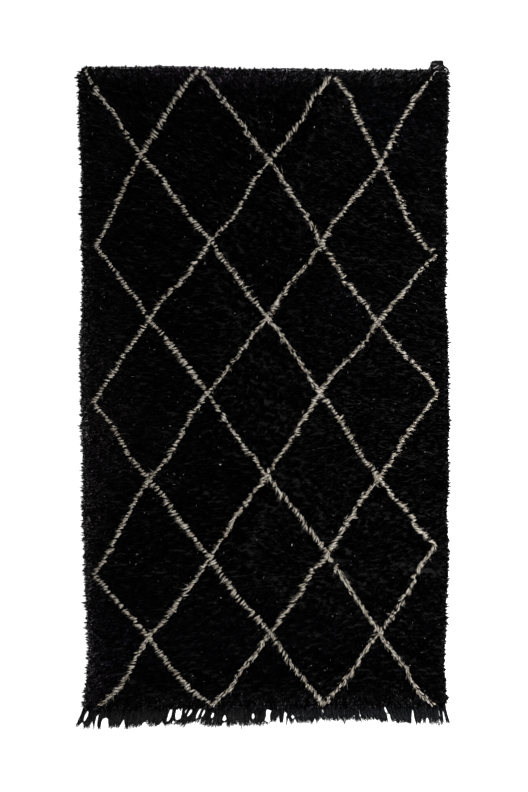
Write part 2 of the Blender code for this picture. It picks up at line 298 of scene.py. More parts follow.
@dataclass
class Strands:
    """Many strands of the same make, which become one joined mesh.

    Attributes:
        paths: The middle line of each strand, as strands by stations by 3.
        radii: Half the width at each station, as strands by stations.
        dye: The linear colour of each strand.
        sides: How many sides a strand has.
        pointed: Whether both ends are points. If not, they are cut flat.
        flatness: Thickness over width.
        roll: How far each strand is turned about its own middle line, in radians.
    """

    paths: Array
    radii: Array
    dye: Array
    sides: int = 3
    pointed: bool = True
    flatness: float = 1.0
    roll: Array | float = 0.0

    def rings(self) -> Array:
        """The rings of vertices round the middle lines.

        At each station the tangent is the mean of the steps before and after it, the strand's
        width lies along tangent x up and its thickness along tangent x width, so a vertex is
        middle + r (cos f width + flatness sin f thickness) with f going once round.

        Returns:
            Strands by stations by sides by 3.
        """
        steps = np.diff(self.paths, axis=1)
        ends = np.concatenate([steps[:, :1], steps, steps[:, -1:]], axis=1)
        tangent = ends[:, :-1] + ends[:, 1:]
        tangent /= np.maximum(np.linalg.norm(tangent, axis=2, keepdims=True), 1e-9)
        across = np.cross(tangent, (0.0, 0.0, 1.0))
        across /= np.maximum(np.linalg.norm(across, axis=2, keepdims=True), 1e-9)
        over = np.cross(tangent, across)
        way = np.arange(self.sides) * TURN / self.sides
        f = way[None, :] + np.broadcast_to(np.asarray(self.roll), len(self.paths))[:, None]
        wide = np.cos(f)[:, None, :, None] * across[:, :, None, :]
        high = np.sin(f)[:, None, :, None] * over[:, :, None, :] * self.flatness
        return self.paths[:, :, None, :] + self.radii[:, :, None, None] * (wide + high)

    def build(self, name: str, finish: Material, slot: Slot, *nodes: Node) -> Piece:
        """Joins the strands into one piece with their colours and a cell each of the bake map.

        Args:
            name: The piece's name.
            finish: Its material.
            slot: Its material slot in the record.
            nodes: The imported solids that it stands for.

        Returns:
            The dressed piece.
        """
        count, stations, _ = self.paths.shape
        rings = self.rings()
        share = np.linspace(0, 1, stations)
        if self.pointed:
            inner = rings[:, 1:-1].reshape(count, -1, 3)
            points = np.concatenate([self.paths[:, :1], inner, self.paths[:, -1:]], axis=1)
            along = np.concatenate([share[:1], np.repeat(share[1:-1], self.sides), share[-1:]])
        else:
            points = rings.reshape(count, -1, 3)
            along = np.repeat(share, self.sides)
        faces, places = strand_faces(stations, self.sides, self.pointed)
        size = points.shape[1]
        triangles = faces[None] + (np.arange(count) * size)[:, None, None]
        cells = math.ceil(math.sqrt(count))
        corner = np.stack([np.arange(count) % cells, np.arange(count) // cells], axis=1)
        uv = (places[None] + corner[:, None]) / cells
        piece = add_mesh(
            name,
            points.reshape(-1, 3),
            triangles.reshape(-1, 3),
            uv.reshape(-1, 2),
            np.repeat(self.dye, size, axis=0),
            np.tile(along, count),
        )
        return dress(piece, finish, slot, *nodes)


# ---------------------------------------------------------------------------------------------
# Finishes
# ---------------------------------------------------------------------------------------------


class NodeBench:
    """A node tree that is being wired, with short ways to add and join its nodes."""

    def __init__(self, tree: bpy.types.NodeTree) -> None:
        """Starts on an empty tree.

        Args:
            tree: The material's or the group's tree.
        """
        self.tree = tree
        tree.nodes.clear()

    def add(self, kind: str, **settings: object) -> bpy.types.Node:
        """Adds a node of this kind, with its settings."""
        node = self.tree.nodes.new(kind)
        for key, value in settings.items():
            setattr(node, key, value)
        return node

    def feed(self, socket: bpy.types.NodeSocket, value: object) -> None:
        """Gives a socket a number, or joins another socket to it."""
        if isinstance(value, bpy.types.NodeSocket):
            self.tree.links.new(value, socket)
        else:
            socket.default_value = value

    def maths(self, operation: str, *values: object) -> bpy.types.NodeSocket:
        """One Math node on numbers or sockets."""
        node = self.add("ShaderNodeMath", operation=operation)
        for socket, value in zip(node.inputs, values):
            self.feed(socket, value)
        return node.outputs[0]

    def scaled(self, colour: object, share: object) -> bpy.types.NodeSocket:
        """A colour times a number."""
        node = self.add("ShaderNodeVectorMath", operation="SCALE")
        self.feed(node.inputs[0], colour)
        self.feed(node.inputs["Scale"], share)
        return node.outputs[0]

    def spread(self, value: object, low: object, high: object) -> bpy.types.NodeSocket:
        """Takes 0 to 1 onto low to high."""
        node = self.add("ShaderNodeMapRange")
        for name, given in (("Value", value), ("To Min", low), ("To Max", high)):
            self.feed(node.inputs[name], given)
        return node.outputs["Result"]

    def noise(self, place: object, scale: object, detail: float) -> bpy.types.NodeSocket:
        """Noise of this scale at this place."""
        node = self.add("ShaderNodeTexNoise")
        self.feed(node.inputs["Vector"], place)
        self.feed(node.inputs["Scale"], scale)
        self.feed(node.inputs["Detail"], detail)
        return node.outputs["Fac"]

    def close(self, surface: bpy.types.Node) -> None:
        """Joins a surface to the material's output."""
        self.feed(self.add("ShaderNodeOutputMaterial").inputs["Surface"], surface.outputs["BSDF"])

    def close_wool(self, look: bpy.types.Node, relief: bpy.types.Node, shine: float) -> None:
        """Ends a material in a wool surface.

        Args:
            look: The wool fibre group, which gives the colour and the roughness.
            relief: The bump node.
            shine: Specular level.
        """
        surface = self.add("ShaderNodeBsdfPrincipled")
        surface.inputs["Specular IOR Level"].default_value = shine
        self.feed(surface.inputs["Base Color"], look.outputs["Color"])
        self.feed(surface.inputs["Roughness"], look.outputs["Roughness"])
        self.feed(surface.inputs["Normal"], relief.outputs["Normal"])
        self.close(surface)


def start_material(name: str) -> tuple[Material, NodeBench]:
    """A new material of this name, and the bench of its empty node tree."""
    made = bpy.data.materials.new(name)
    made.use_nodes = True
    return made, NodeBench(made.node_tree)


def new_group(
    name: str, takes: dict[str, tuple[str, object]], gives: dict[str, str]
) -> tuple[bpy.types.NodeTree, NodeBench, bpy.types.Node, bpy.types.Node]:
    """Starts a shader node group with named sockets.

    Args:
        name: The group's name.
        takes: Each input's kind and usual value.
        gives: Each output's kind.

    Returns:
        The group, its bench, its input node and its output node.
    """
    tree = bpy.data.node_groups.new(name, "ShaderNodeTree")
    for label, (kind, usual) in takes.items():
        socket = tree.interface.new_socket(label, in_out="INPUT", socket_type=kind)
        socket.default_value = usual
    for label, kind in gives.items():
        tree.interface.new_socket(label, in_out="OUTPUT", socket_type=kind)
    bench = NodeBench(tree)
    return tree, bench, bench.add("NodeGroupInput"), bench.add("NodeGroupOutput")


COLOUR, NUMBER = "NodeSocketColor", "NodeSocketFloat"


def make_fibre_group() -> bpy.types.NodeTree:
    """The look of spun wool, for every yarn on the rug.

    The dye is darkened towards the root, which paints the shade deep in the pile, streaked by fine fibres
    and clouded by wider patches, and the fibres also give a height and a little change of roughness.

    Returns:
        The group: Dye, Along, Fibre Size, Streak, Cloud, Cloud Size and Root Shade in, and Color,
        Roughness and Height out.
    """
    tree, bench, given, out = new_group(
        "Wool fibres",
        {
            "Dye": (COLOUR, (0.5, 0.5, 0.5, 1.0)),
            "Along": (NUMBER, 0.5),
            "Fibre Size": (NUMBER, 0.0012),
            "Streak": (NUMBER, 0.3),
            "Cloud": (NUMBER, 0.2),
            "Cloud Size": (NUMBER, 0.0167),
            "Painted Deep Shade": (NUMBER, 0.4),
        },
        {"Color": COLOUR, "Roughness": NUMBER, "Height": NUMBER},
    )
    darkest, smooth, rough = 0.05, 0.78, 0.96
    place = bench.add("ShaderNodeTexCoord").outputs["Object"]
    fine = bench.noise(place, bench.maths("DIVIDE", 1.0, given.outputs["Fibre Size"]), 3.0)
    wide = bench.noise(place, bench.maths("DIVIDE", 1.0, given.outputs["Cloud Size"]), 2.0)
    streak, cloud = given.outputs["Streak"], given.outputs["Cloud"]
    by_fibre = bench.spread(fine, bench.maths("SUBTRACT", 1.0, streak), bench.maths("ADD", 1.0, streak))
    by_cloud = bench.spread(wide, bench.maths("SUBTRACT", 1.0, cloud), bench.maths("ADD", 1.0, cloud))
    by_cloud = bench.maths("MAXIMUM", by_cloud, darkest)
    # painted shade: darker towards a strand's root, deep in the pile
    painted_root_shade = bench.spread(given.outputs["Along"], given.outputs["Painted Deep Shade"], 1.0)
    share = bench.maths("MULTIPLY", bench.maths("MULTIPLY", by_fibre, by_cloud), painted_root_shade)
    bench.feed(out.inputs["Color"], bench.scaled(given.outputs["Dye"], share))
    bench.feed(out.inputs["Roughness"], bench.spread(fine, rough, smooth))
    bench.feed(out.inputs["Height"], fine)
    return tree


def make_knot_row_group() -> bpy.types.NodeTree:
    """Rows of knots seen from the back, each a pair of small loops.

    The height is the product of two half waves, one across at the knots' pitch and one up at the
    rows' pitch, both of the object's own coordinates.

    Returns:
        The group: Knot Pitch and Row Pitch in, Height out.
    """
    tree, bench, given, out = new_group(
        "Knot rows",
        {"Knot Pitch": (NUMBER, 0.009), "Row Pitch": (NUMBER, 0.015)},
        {"Height": NUMBER},
    )
    apart = bench.add("ShaderNodeSeparateXYZ")
    bench.feed(apart.inputs[0], bench.add("ShaderNodeTexCoord").outputs["Object"])
    waves = []
    for axis, pitch in (("X", "Knot Pitch"), ("Y", "Row Pitch")):
        turns = bench.maths("DIVIDE", apart.outputs[axis], given.outputs[pitch])
        wave = bench.maths("ABSOLUTE", bench.maths("SINE", bench.maths("MULTIPLY", turns, math.pi)))
        waves.append(wave)
    bench.feed(out.inputs["Height"], bench.maths("MULTIPLY", *waves))
    return tree


@dataclass(frozen=True)
class YarnFinish:
    """Spun wool, dyed by each strand's own colour.

    Attributes:
        name: The material's name.
        fibre_size: Size of a fibre's streak, in metres.
        streak: How much fibres lighten and darken the dye.
        cloud: How much wider patches do.
        cloud_size: Size of such a patch, in metres.
        painted_deep_shade: The dye's share that is left at a root, a painted shade deep in the pile.
        shine: Specular level.
        bump: Height of the fibres, in metres.
        bump_share: How much of that height shows.
    """

    name: str
    fibre_size: float = 0.0012
    streak: float = 0.35
    cloud: float = 0.25
    cloud_size: float = 0.0167
    painted_deep_shade: float = 0.3
    shine: float = 0.1
    bump: float = 0.0004
    bump_share: float = 0.6

    def build(self, fibres: bpy.types.NodeTree) -> Material:
        """Wires the material.

        Args:
            fibres: The wool fibre group.

        Returns:
            The material.
        """
        made, bench = start_material(self.name)
        group = bench.add("ShaderNodeGroup", node_tree=fibres)
        dye = bench.add("ShaderNodeAttribute", attribute_name=DYE)
        along = bench.add("ShaderNodeAttribute", attribute_name=ALONG)
        for label, value in (
            ("Dye", dye.outputs["Color"]),
            ("Along", along.outputs["Fac"]),
            ("Fibre Size", self.fibre_size),
            ("Streak", self.streak),
            ("Cloud", self.cloud),
            ("Cloud Size", self.cloud_size),
            ("Painted Deep Shade", self.painted_deep_shade),
        ):
            bench.feed(group.inputs[label], value)
        relief = bench.add("ShaderNodeBump")
        relief.inputs["Strength"].default_value = self.bump_share
        relief.inputs["Distance"].default_value = self.bump
        bench.feed(relief.inputs["Height"], group.outputs["Height"])
        bench.close_wool(group, relief, self.shine)
        return made


@dataclass(frozen=True)
class GroundFinish:
    """The dark woven ground, with the knots' backs in rows on its underside.

    Attributes:
        name: The material's name.
        dye: The linear colour of its wool.
        knot_pitch: From one knot to the next, in metres.
        row_pitch: From one row to the next, in metres.
        relief: How far a knot's back stands out, in metres.
        fibre_relief: How far fibres stand out, as a share of that.
        fibre_size: Size of a fibre's streak, in metres.
        painted_deep_shade: The dye's share that is left between knots, a painted shade in the hollows there.
        shine: Specular level.
    """

    name: str
    dye: tuple[float, float, float] = (0.006, 0.0055, 0.006)
    knot_pitch: float = 0.009
    row_pitch: float = 0.015
    relief: float = 0.0008
    fibre_relief: float = 0.3
    fibre_size: float = 0.0016
    painted_deep_shade: float = 0.35
    shine: float = 0.1

    def build(self, fibres: bpy.types.NodeTree, rows: bpy.types.NodeTree) -> Material:
        """Wires the material.

        Args:
            fibres: The wool fibre group.
            rows: The knot row group.

        Returns:
            The material.
        """
        made, bench = start_material(self.name)
        knots = bench.add("ShaderNodeGroup", node_tree=rows)
        knots.inputs["Knot Pitch"].default_value = self.knot_pitch
        knots.inputs["Row Pitch"].default_value = self.row_pitch
        group = bench.add("ShaderNodeGroup", node_tree=fibres)
        group.inputs["Dye"].default_value = (*self.dye, 1.0)
        # painted shade: the low ground between knot backs takes the darker root share
        bench.feed(group.inputs["Along"], knots.outputs["Height"])
        group.inputs["Fibre Size"].default_value = self.fibre_size
        group.inputs["Painted Deep Shade"].default_value = self.painted_deep_shade
        relief = bench.add("ShaderNodeBump")
        relief.inputs["Distance"].default_value = self.relief
        fibre = bench.maths("MULTIPLY", group.outputs["Height"], self.fibre_relief)
        bench.feed(relief.inputs["Height"], bench.maths("ADD", knots.outputs["Height"], fibre))
        bench.close_wool(group, relief, self.shine)
        return made


# ---------------------------------------------------------------------------------------------
# The rug's outline, its lattice and the lie of its pile
# ---------------------------------------------------------------------------------------------


@dataclass(frozen=True)
class RugOutline:
    """The outline of the knotted field, without the strands that stick out of it.

    Attributes:
        left: The left side's x at heights up the rug.
        right: The right side's x likewise.
        top: The top end's y across the rug.
        bottom: The bottom end's y likewise.
        left_rounding: Radius of the top left corner.
        right_rounding: Radius of the top right corner.
        start: x of the left side as it is on the mean.
        width: The mean width, for where the two ends are read.
        uneven_pitch: How far apart the pile's bulges are along a side.
    """

    left: tuple[Station, ...] = table(
        Station,  # along, at
        (-1.257, -0.713), (-1.175, -0.705), (-1.087, -0.692), (-0.999, -0.693), (-0.911, -0.698),
        (-0.823, -0.701), (-0.735, -0.704), (-0.647, -0.709), (-0.559, -0.709), (-0.471, -0.716),
        (-0.383, -0.713), (-0.207, -0.715), (-0.119, -0.719), (0.057, -0.723), (0.233, -0.725),
        (0.321, -0.718), (0.497, -0.713), (0.585, -0.72), (0.761, -0.72), (0.849, -0.717),
        (0.937, -0.722), (1.025, -0.726), (1.113, -0.731), (1.309, -0.732),
    )
    right: tuple[Station, ...] = table(
        Station,  # along, at
        (-1.257, 0.736), (-1.222, 0.74), (-1.175, 0.736), (-1.087, 0.73), (-0.999, 0.732),
        (-0.911, 0.738), (-0.823, 0.738), (-0.647, 0.748), (-0.559, 0.743), (-0.471, 0.739),
        (-0.383, 0.746), (-0.295, 0.748), (-0.207, 0.743), (-0.119, 0.751), (-0.031, 0.746),
        (0.233, 0.744), (0.321, 0.738), (0.409, 0.732), (0.497, 0.737), (0.761, 0.738), (0.937, 0.736),
        (1.025, 0.742), (1.201, 0.747), (1.309, 0.742),
    )
    top: tuple[Station, ...] = table(
        Station,  # along, at
        (-0.739, 1.305), (-0.679, 1.3075), (-0.503, 1.307), (-0.415, 1.3105), (-0.327, 1.3105),
        (-0.239, 1.308), (-0.151, 1.302), (-0.063, 1.2985), (0.113, 1.3025), (0.201, 1.2995),
        (0.289, 1.2985), (0.377, 1.292), (0.465, 1.2955), (0.641, 1.297), (0.751, 1.297),
    )
    bottom: tuple[Station, ...] = table(Station, (-0.739, -1.2568), (0.761, -1.2428))
    left_rounding: float = 0.036
    right_rounding: float = 0.016
    start: float = -0.73
    width: float = 1.47
    uneven_pitch: float = 0.026

    def uneven(self, along: Array, side: int) -> Array:
        """How a side's pile stands in and out of it, between about -1 and 1.

        Args:
            along: Places along the side, in metres.
            side: 0 for the left, 1 for the right, 2 for the top end and 3 for the bottom end.

        Returns:
            The value at each place.
        """
        return wander(along, along * 0, self.uneven_pitch, 100 + side)

    def spot(self, across: Array, up: Array) -> tuple[Array, Array]:
        """Takes shares of the way across and up to a place on the rug.

        The height goes from the bottom end to the top end at that share across, and the place
        across goes from the left side to the right side at that height. In a rounded corner, a
        place d from the corner's middle moves to d times the larger part of d over its length.

        Args:
            across: 0 at the left side and 1 at the right.
            up: 0 at the bottom end and 1 at the top.

        Returns:
            x and y.
        """
        level = self.start + self.width * across
        low, high = profile(self.bottom, level), profile(self.top, level)
        y = low + up * (high - low)
        west, east = profile(self.left, y), profile(self.right, y)
        x = west + across * (east - west)
        for side, radius, sign in ((west, self.left_rounding, -1.0), (east, self.right_rounding, 1.0)):
            middle_x, middle_y = side - sign * radius, high - radius
            dx, dy = np.maximum(sign * (x - middle_x), 0.0), np.maximum(y - middle_y, 0.0)
            pull = np.maximum(dx, dy) / np.maximum(np.hypot(dx, dy), 1e-9)
            inside = (dx > 0) & (dy > 0)
            x = np.where(inside, middle_x + sign * dx * pull, x)
            y = np.where(inside, middle_y + dy * pull, y)
        return x, y


class Crossing(NamedTuple):
    """Where two lines of the lattice meet, in metres."""

    x: float
    y: float


class Stray(NamedTuple):
    """How far a run of the lattice strays to the right of straight, in millimetres.

    The fields are for a quarter, half and three quarters of the way down.
    """

    high: float
    middle: float
    low: float


class LineBreak(NamedTuple):
    """A place where a line of the lattice is interrupted: its middle and reach in metres."""

    x: float
    y: float
    reach: float

    def covers(self, x: Array, y: Array) -> Mask:
        """Whether places are within the break."""
        return np.hypot(x - self.x, y - self.y) < self.reach


@dataclass(frozen=True)
class Lattice:
    """Six lines that go down the rug in zigzags and cross at every turn, which makes diamonds.

    Attributes:
        crossings: The crossings, one row of them after another from the top end.
        strays: For each gap between two rows of crossings, how its six runs stray.
        breaks: Where a line is interrupted.
        lies: For each gap, the way that the yarn ends of its six runs lie, in degrees.
        pitch: From one ivory tuft of two yarn ends to the next along a line, in metres.
        tuft: How far apart a tuft's yarn ends are where the pile lies across the line.
        off_line: How far yarn ends stray off their line, in metres, before the next four shares.
        off_across: The share of it where the pile lies across the line.
        off_along: What is added to that share where the pile lies along the line.
        tuft_stray: How much of it a tuft strays as a whole.
        end_stray: How much of it each yarn end strays by itself.
        opened: How much further apart a tuft's yarn ends are where the pile lies along the line.
        end_scatter: How much that distance differs, in metres.
        uneven_pitch: How unevenly tufts stand along a line, as a share of the pitch.
        wobble: How far a line wanders besides its strays, in metres.
        wobble_length: About how long such a wander is.
        swell: How much the yarn ends' length wanders along a line, as a share.
        swell_length: About how long that wander is, in metres.
        tuft_swell: How much their length differs from tuft to tuft, as a share.
        end_swell: How much it differs from yarn end to yarn end.
        lie_spread: How much tufts differ in the way that they lie, in radians.
        short_start: How much shorter the outer lines' yarn ends are at the top, as a share.
        short_from: y where they start to be shorter.
        short_ease: Over how many metres they come to that.
        bare: How near to a line, across the rug, no black knot shows.
        bare_end: How far past a line's ends that holds.
        line_shares: How long each line's yarn ends are, as a share of the pile's reach.
        gap_shares: The same for each gap between two rows of crossings.
    """

    crossings: tuple[tuple[Crossing, ...], ...] = (
        # x, y
        table(Crossing, (-0.707, 1.297), (-0.249, 1.306), (0.277, 1.277), (0.688, 1.273)),
        table(Crossing, (-0.485, 0.955), (0.030, 0.933), (0.475, 0.917)),
        table(Crossing, (-0.664, 0.591), (-0.204, 0.615), (0.239, 0.605), (0.688, 0.551)),
        table(Crossing, (-0.451, 0.299), (0.024, 0.309), (0.464, 0.289)),
        table(Crossing, (-0.673, -0.035), (-0.218, 0.003), (0.230, 0.005), (0.705, 0.009)),
        table(Crossing, (-0.453, -0.339), (0.018, -0.327), (0.471, -0.335)),
        table(Crossing, (-0.671, -0.723), (-0.209, -0.653), (0.261, -0.643), (0.698, -0.607)),
        table(Crossing, (-0.453, -0.971), (0.034, -0.957), (0.470, -0.953)),
        table(Crossing, (-0.651, -1.247), (-0.199, -1.244), (0.247, -1.240), (0.683, -1.243)),
    )
    strays: tuple[tuple[Stray, ...], ...] = (
        # high, middle, low
        table(Stray, (-11, 3, -5), (-10, -9, -4), (-4, 2, -7), (-4, 14, 6), (25, 8, 8), (-22, -21, -13)),
        table(Stray, (-5, 0, 4), (12, -3, -10), (-6, 16, 22), (8, 3, 8), (-3, -6, -13), (1, -14, -25)),
        table(Stray, (6, 3, 9), (6, 13, -9), (-10, -4, -11), (7, -6, -6), (-7, -12, -2), (-9, 0, -2)),
        table(Stray, (-4, -2, -2), (6, 5, 6), (-4, 1, 4), (3, 7, 7), (14, 4, -6), (-5, -6, 7)),
        table(Stray, (14, -2, -10), (-6, 9, 19), (-2, -9, 0), (4, 8, 2), (9, 1, -10), (-2, -14, -2)),
        table(Stray, (-2, -1, 6), (7, -7, -4), (-5, -12, -3), (4, 8, 11), (-17, -8, -8), (-6, 0, -18)),
        table(Stray, (2, -1, 4), (7, 11, 11), (-10, -15, -5), (-16, 2, -2), (6, -2, -1), (-12, 3, 7)),
        table(Stray, (4, 18, 26), (-14, -27, -29), (4, 4, 16), (-4, -11, -6), (-3, 10, 10), (-3, 1, -20)),
    )
    breaks: tuple[LineBreak, ...] = table(LineBreak, (-0.112, -0.130, 0.011), (0.690, 1.272, 0.014))
    lies: tuple[tuple[int, ...], ...] = (
        (152, 140, 133, 95, -8, 6),
        (-170, -171, -165, 153, 6, -26),
        (-160, -166, 20, 35, 4, 10),
        (168, -165, -155, -45, 24, -4),
        (-170, -168, 165, 20, 24, 4),
        (-164, -160, -157, -100, 32, -6),
        (-168, -170, -140, -165, -62, -124),
        (-160, -158, -132, -92, -125, -59),
    )
    pitch: float = 0.0134
    tuft: float = 0.0020
    off_line: float = 0.0032
    off_across: float = 0.7
    off_along: float = 0.5
    tuft_stray: float = 0.85
    end_stray: float = 0.5
    opened: float = 2.2
    end_scatter: float = 0.0006
    uneven_pitch: float = 0.14
    wobble: float = 0.0012
    wobble_length: float = 0.035
    swell: float = 0.16
    swell_length: float = 0.11
    tuft_swell: float = 0.13
    end_swell: float = 0.06
    lie_spread: float = 0.17
    short_start: float = 0.48
    short_from: float = 1.20
    short_ease: float = 0.06
    bare: float = 0.0070
    bare_end: float = 0.004
    line_shares: tuple[float, ...] = (0.96, 1.03, 1.03, 1.10, 1.08, 1.06)
    gap_shares: tuple[float, ...] = (1.05, 0.97, 0.99, 1.06, 1.0, 1.12, 1.20, 1.22)

    def line(self, number: int) -> tuple[Array, Array]:
        """One line's turning points and strays, from the bottom end up.

        Run j of a gap goes from crossing (j + 1) // 2 to j // 2 where the upper row has four
        crossings, and from j // 2 to (j + 1) // 2 where it has three.

        Args:
            number: The line, 0 at the left to 5 at the right.

        Returns:
            y and x of its points, y rising.
        """
        y: list[float] = []
        x: list[float] = []
        for gap, runs in enumerate(self.strays):
            turned = (number + 1) // 2, number // 2
            first, last = turned if gap % 2 == 0 else turned[::-1]
            start, end = self.crossings[gap][first], self.crossings[gap + 1][last]
            stray = (0.0, *runs[number], 0.0)
            for quarter in range(4 if gap + 1 < len(self.strays) else 5):
                share = quarter / 4
                y.append(start.y + share * (end.y - start.y))
                x.append(start.x + share * (end.x - start.x) + stray[quarter] * MM)
        return np.array(y[::-1]), np.array(x[::-1])

    def yarn_ends(self, draw: Draw) -> tuple[Array, Array, Array, Array, Array]:
        """Where the ivory yarn ends show: in tufts of two along each line, a little off it.

        Their length wanders by about a sixth, and the outer lines start with short ones at the
        top. They lie the way of their gap, which turns to the next gap's within the middle third
        between. Where that is along the line, a tuft's yarn ends open out and stray more.

        Args:
            draw: Picks how far each is off.

        Returns:
            x and y of each one's middle, its share of the pile's reach, its line's way there and
            the way that it lies.
        """
        found = []
        gaps = np.arange(len(self.gap_shares))
        for number, usual in enumerate(self.line_shares):
            line_y, line_x = self.line(number)
            step_x, step_y = np.diff(line_x), np.diff(line_y)
            travelled = np.concatenate([[0.0], np.cumsum(np.hypot(step_x, step_y))])
            count = int(travelled[-1] / self.pitch)
            tufts = np.sort(self.pitch * (np.arange(count) + 0.5 + draw.normal(0, self.uneven_pitch, count)))
            along = np.repeat(tufts, 2)
            x = np.interp(along, travelled, line_x)
            x += self.wobble * wander(along, along * 0, self.wobble_length, 60 + number)
            y = np.interp(along, travelled, line_y)
            way = np.arctan2(*(np.interp(along, travelled[1:], step) for step in (step_y, step_x)))
            down = (self.crossings[0][0].y - y) / (self.crossings[0][0].y - self.crossings[-1][0].y)
            place = down * len(gaps) - 0.5
            longer = 1.0 + self.swell * wander(along, along * 0, self.swell_length, 70 + number)
            by_tuft = np.repeat(draw.normal(0, self.tuft_swell, count), 2)
            longer += by_tuft + draw.normal(0, self.end_swell, len(along))
            share = usual * np.interp(place, gaps, self.gap_shares) * longer
            if number in (0, len(self.line_shares) - 1):
                share *= 1.0 - self.short_start * eased((y - self.short_from) / self.short_ease)
            turned = np.floor(place) + eased((place % 1.0 - 0.5) * 3.0 + 0.5)
            lies = np.radians(np.array(self.lies)[:, number])
            lie = np.arctan2(np.interp(turned, gaps, np.sin(lies)), np.interp(turned, gaps, np.cos(lies)))
            lie += np.repeat(draw.normal(0, self.lie_spread, count), 2)
            with_line = np.cos(lie - way) ** 2
            loose = self.off_line * (self.off_across + self.off_along * with_line)
            by_tuft = np.repeat(draw.normal(0, self.tuft_stray, count), 2)
            x += loose * (by_tuft + draw.normal(0, self.end_stray, len(along)))
            beside = np.tile((-0.5, 0.5), count) * self.tuft * (1.0 + self.opened * with_line**2)
            beside += draw.normal(0, self.end_scatter, len(along))
            x, y = x - beside * np.sin(lie), y + beside * np.cos(lie)
            whole = ~np.any([gap.covers(x, y) for gap in self.breaks], axis=0)
            found.append(np.stack([x, y, share, way, lie])[:, whole])
        x, y, share, way, lie = np.concatenate(found, axis=1)
        return x, y, share, way, lie

    def clears(self, x: Array, y: Array) -> Mask:
        """Whether a black knot that shows at each place would cover a line."""
        near = np.zeros(x.shape, bool)
        for number in range(len(self.line_shares)):
            line_y, line_x = self.line(number)
            beside = np.abs(x - np.interp(y, line_y, line_x)) < self.bare
            near |= beside & (y < line_y[-1] + self.bare_end) & (y > line_y[0] - self.bare_end)
        return near & ~np.any([gap.covers(x, y) for gap in self.breaks], axis=0)


class LieZone(NamedTuple):
    """A stretch of pile that lies one way or its opposite.

    The fields are its middle and reach in metres, and the way in degrees from a line across the rug.
    """

    x: float
    y: float
    reach: float
    way: float


@dataclass(frozen=True)
class PileLie:
    """Which way the pile lies over the rug.

    Attributes:
        zones: The stretches that lie one way. Between them the ways blend.
        swirl: How far the way wanders from that, in radians.
        swirl_length: About how long such a wander is, in metres.
        parting: How far, as a share of the way to a side, the pile's two opposite ways mix.
        half_wide: From the rug's middle to a side.
        half_high: From its middle to an end.
    """

    zones: tuple[LieZone, ...] = table(
        LieZone,  # x, y, reach, way
        (-0.67, 1.22, 0.12, 143), (-0.67, 1.08, 0.12, 155), (-0.65, 0.90, 0.15, 178),
        (-0.62, 0.68, 0.15, 10), (-0.65, 0.40, 0.20, 3), (-0.67, 0.06, 0.16, 8),
        (-0.65, -0.18, 0.14, 168), (-0.65, -0.42, 0.18, 178), (-0.61, -0.74, 0.14, 23),
        (-0.61, -0.96, 0.14, 179), (-0.63, -1.14, 0.12, 27), (-0.37, 1.22, 0.14, 131),
        (-0.33, 1.02, 0.18, 152), (-0.40, 0.70, 0.18, 178), (-0.33, 0.50, 0.16, 5),
        (-0.37, 0.32, 0.12, 30), (-0.42, 0.10, 0.18, 6), (-0.38, -0.16, 0.14, 15),
        (-0.45, -0.60, 0.16, 33), (-0.35, -0.76, 0.14, 8), (-0.23, -0.92, 0.12, 32),
        (-0.40, -1.16, 0.16, 12), (-0.13, 1.22, 0.11, 125), (0.03, 1.20, 0.12, 90),
        (-0.09, 1.04, 0.13, 122), (0.09, 1.02, 0.12, 82), (-0.11, 0.82, 0.12, 150),
        (0.11, 0.70, 0.12, 160), (-0.04, 0.60, 0.14, 35), (0.00, 0.36, 0.14, 50),
        (-0.21, 0.20, 0.12, 172), (-0.03, 0.06, 0.14, 56), (-0.15, -0.24, 0.14, 26),
        (0.01, -0.20, 0.08, 110), (-0.12, -0.48, 0.13, 38), (0.00, -0.62, 0.10, 160),
        (-0.04, -0.94, 0.14, 58), (-0.06, -1.16, 0.14, 58), (0.15, 1.22, 0.09, 30),
        (0.28, 1.13, 0.12, 145), (0.35, 0.94, 0.18, 178), (0.38, 0.68, 0.18, 173), (0.23, 0.32, 0.15, 22),
        (0.35, 0.20, 0.12, 38), (0.12, 0.06, 0.13, 30), (0.25, -0.16, 0.15, 18), (0.30, -0.42, 0.14, 42),
        (0.11, -0.58, 0.10, 128), (0.18, -0.76, 0.13, 12), (0.24, -0.96, 0.18, 45),
        (0.19, -1.17, 0.14, 62), (0.48, 1.22, 0.20, 18), (0.64, 0.98, 0.16, 176), (0.63, 0.76, 0.12, 143),
        (0.60, 0.56, 0.16, 173), (0.64, 0.32, 0.14, 158), (0.50, 0.04, 0.18, 176), (0.55, -0.20, 0.18, 5),
        (0.65, -0.40, 0.14, 15), (0.48, -0.60, 0.18, 32), (0.56, -0.78, 0.10, 110),
        (0.64, -0.96, 0.14, 128), (0.53, -1.16, 0.18, 114), (0.69, -1.20, 0.09, 135),
    )
    swirl: float = 0.16
    swirl_length: float = 0.16
    parting: float = 0.12
    half_wide: float = 0.72
    half_high: float = 1.25

    def angle(self, x: Array, y: Array, doubt: Array) -> Array:
        """The way that the pile lies at each place.

        Each zone pulls with a weight of exp(-distance squared / reach squared) on an arrow at
        twice its way, so that opposite ways agree. Half the angle of the arrows' sum, plus a
        seeded wander, is the way, and it is turned round where it would point to the rug's middle.

        Args:
            x: Places across.
            y: Places up.
            doubt: A seeded value for each place, which mixes the ways near the rug's middle.

        Returns:
            Angles in radians.
        """
        arrow_x, arrow_y = np.zeros(x.shape), np.zeros(x.shape)
        for zone in self.zones:
            weight = np.exp(-((x - zone.x) ** 2 + (y - zone.y) ** 2) / zone.reach**2)
            arrow_x += weight * math.cos(2 * math.radians(zone.way))
            arrow_y += weight * math.sin(2 * math.radians(zone.way))
        way = np.arctan2(arrow_y, arrow_x) / 2 + self.swirl * wander(x, y, self.swirl_length, 31)
        outward = np.cos(way) * x / self.half_wide + np.sin(way) * y / self.half_high
        return np.where(outward + self.parting * doubt < 0, way + math.pi, way)


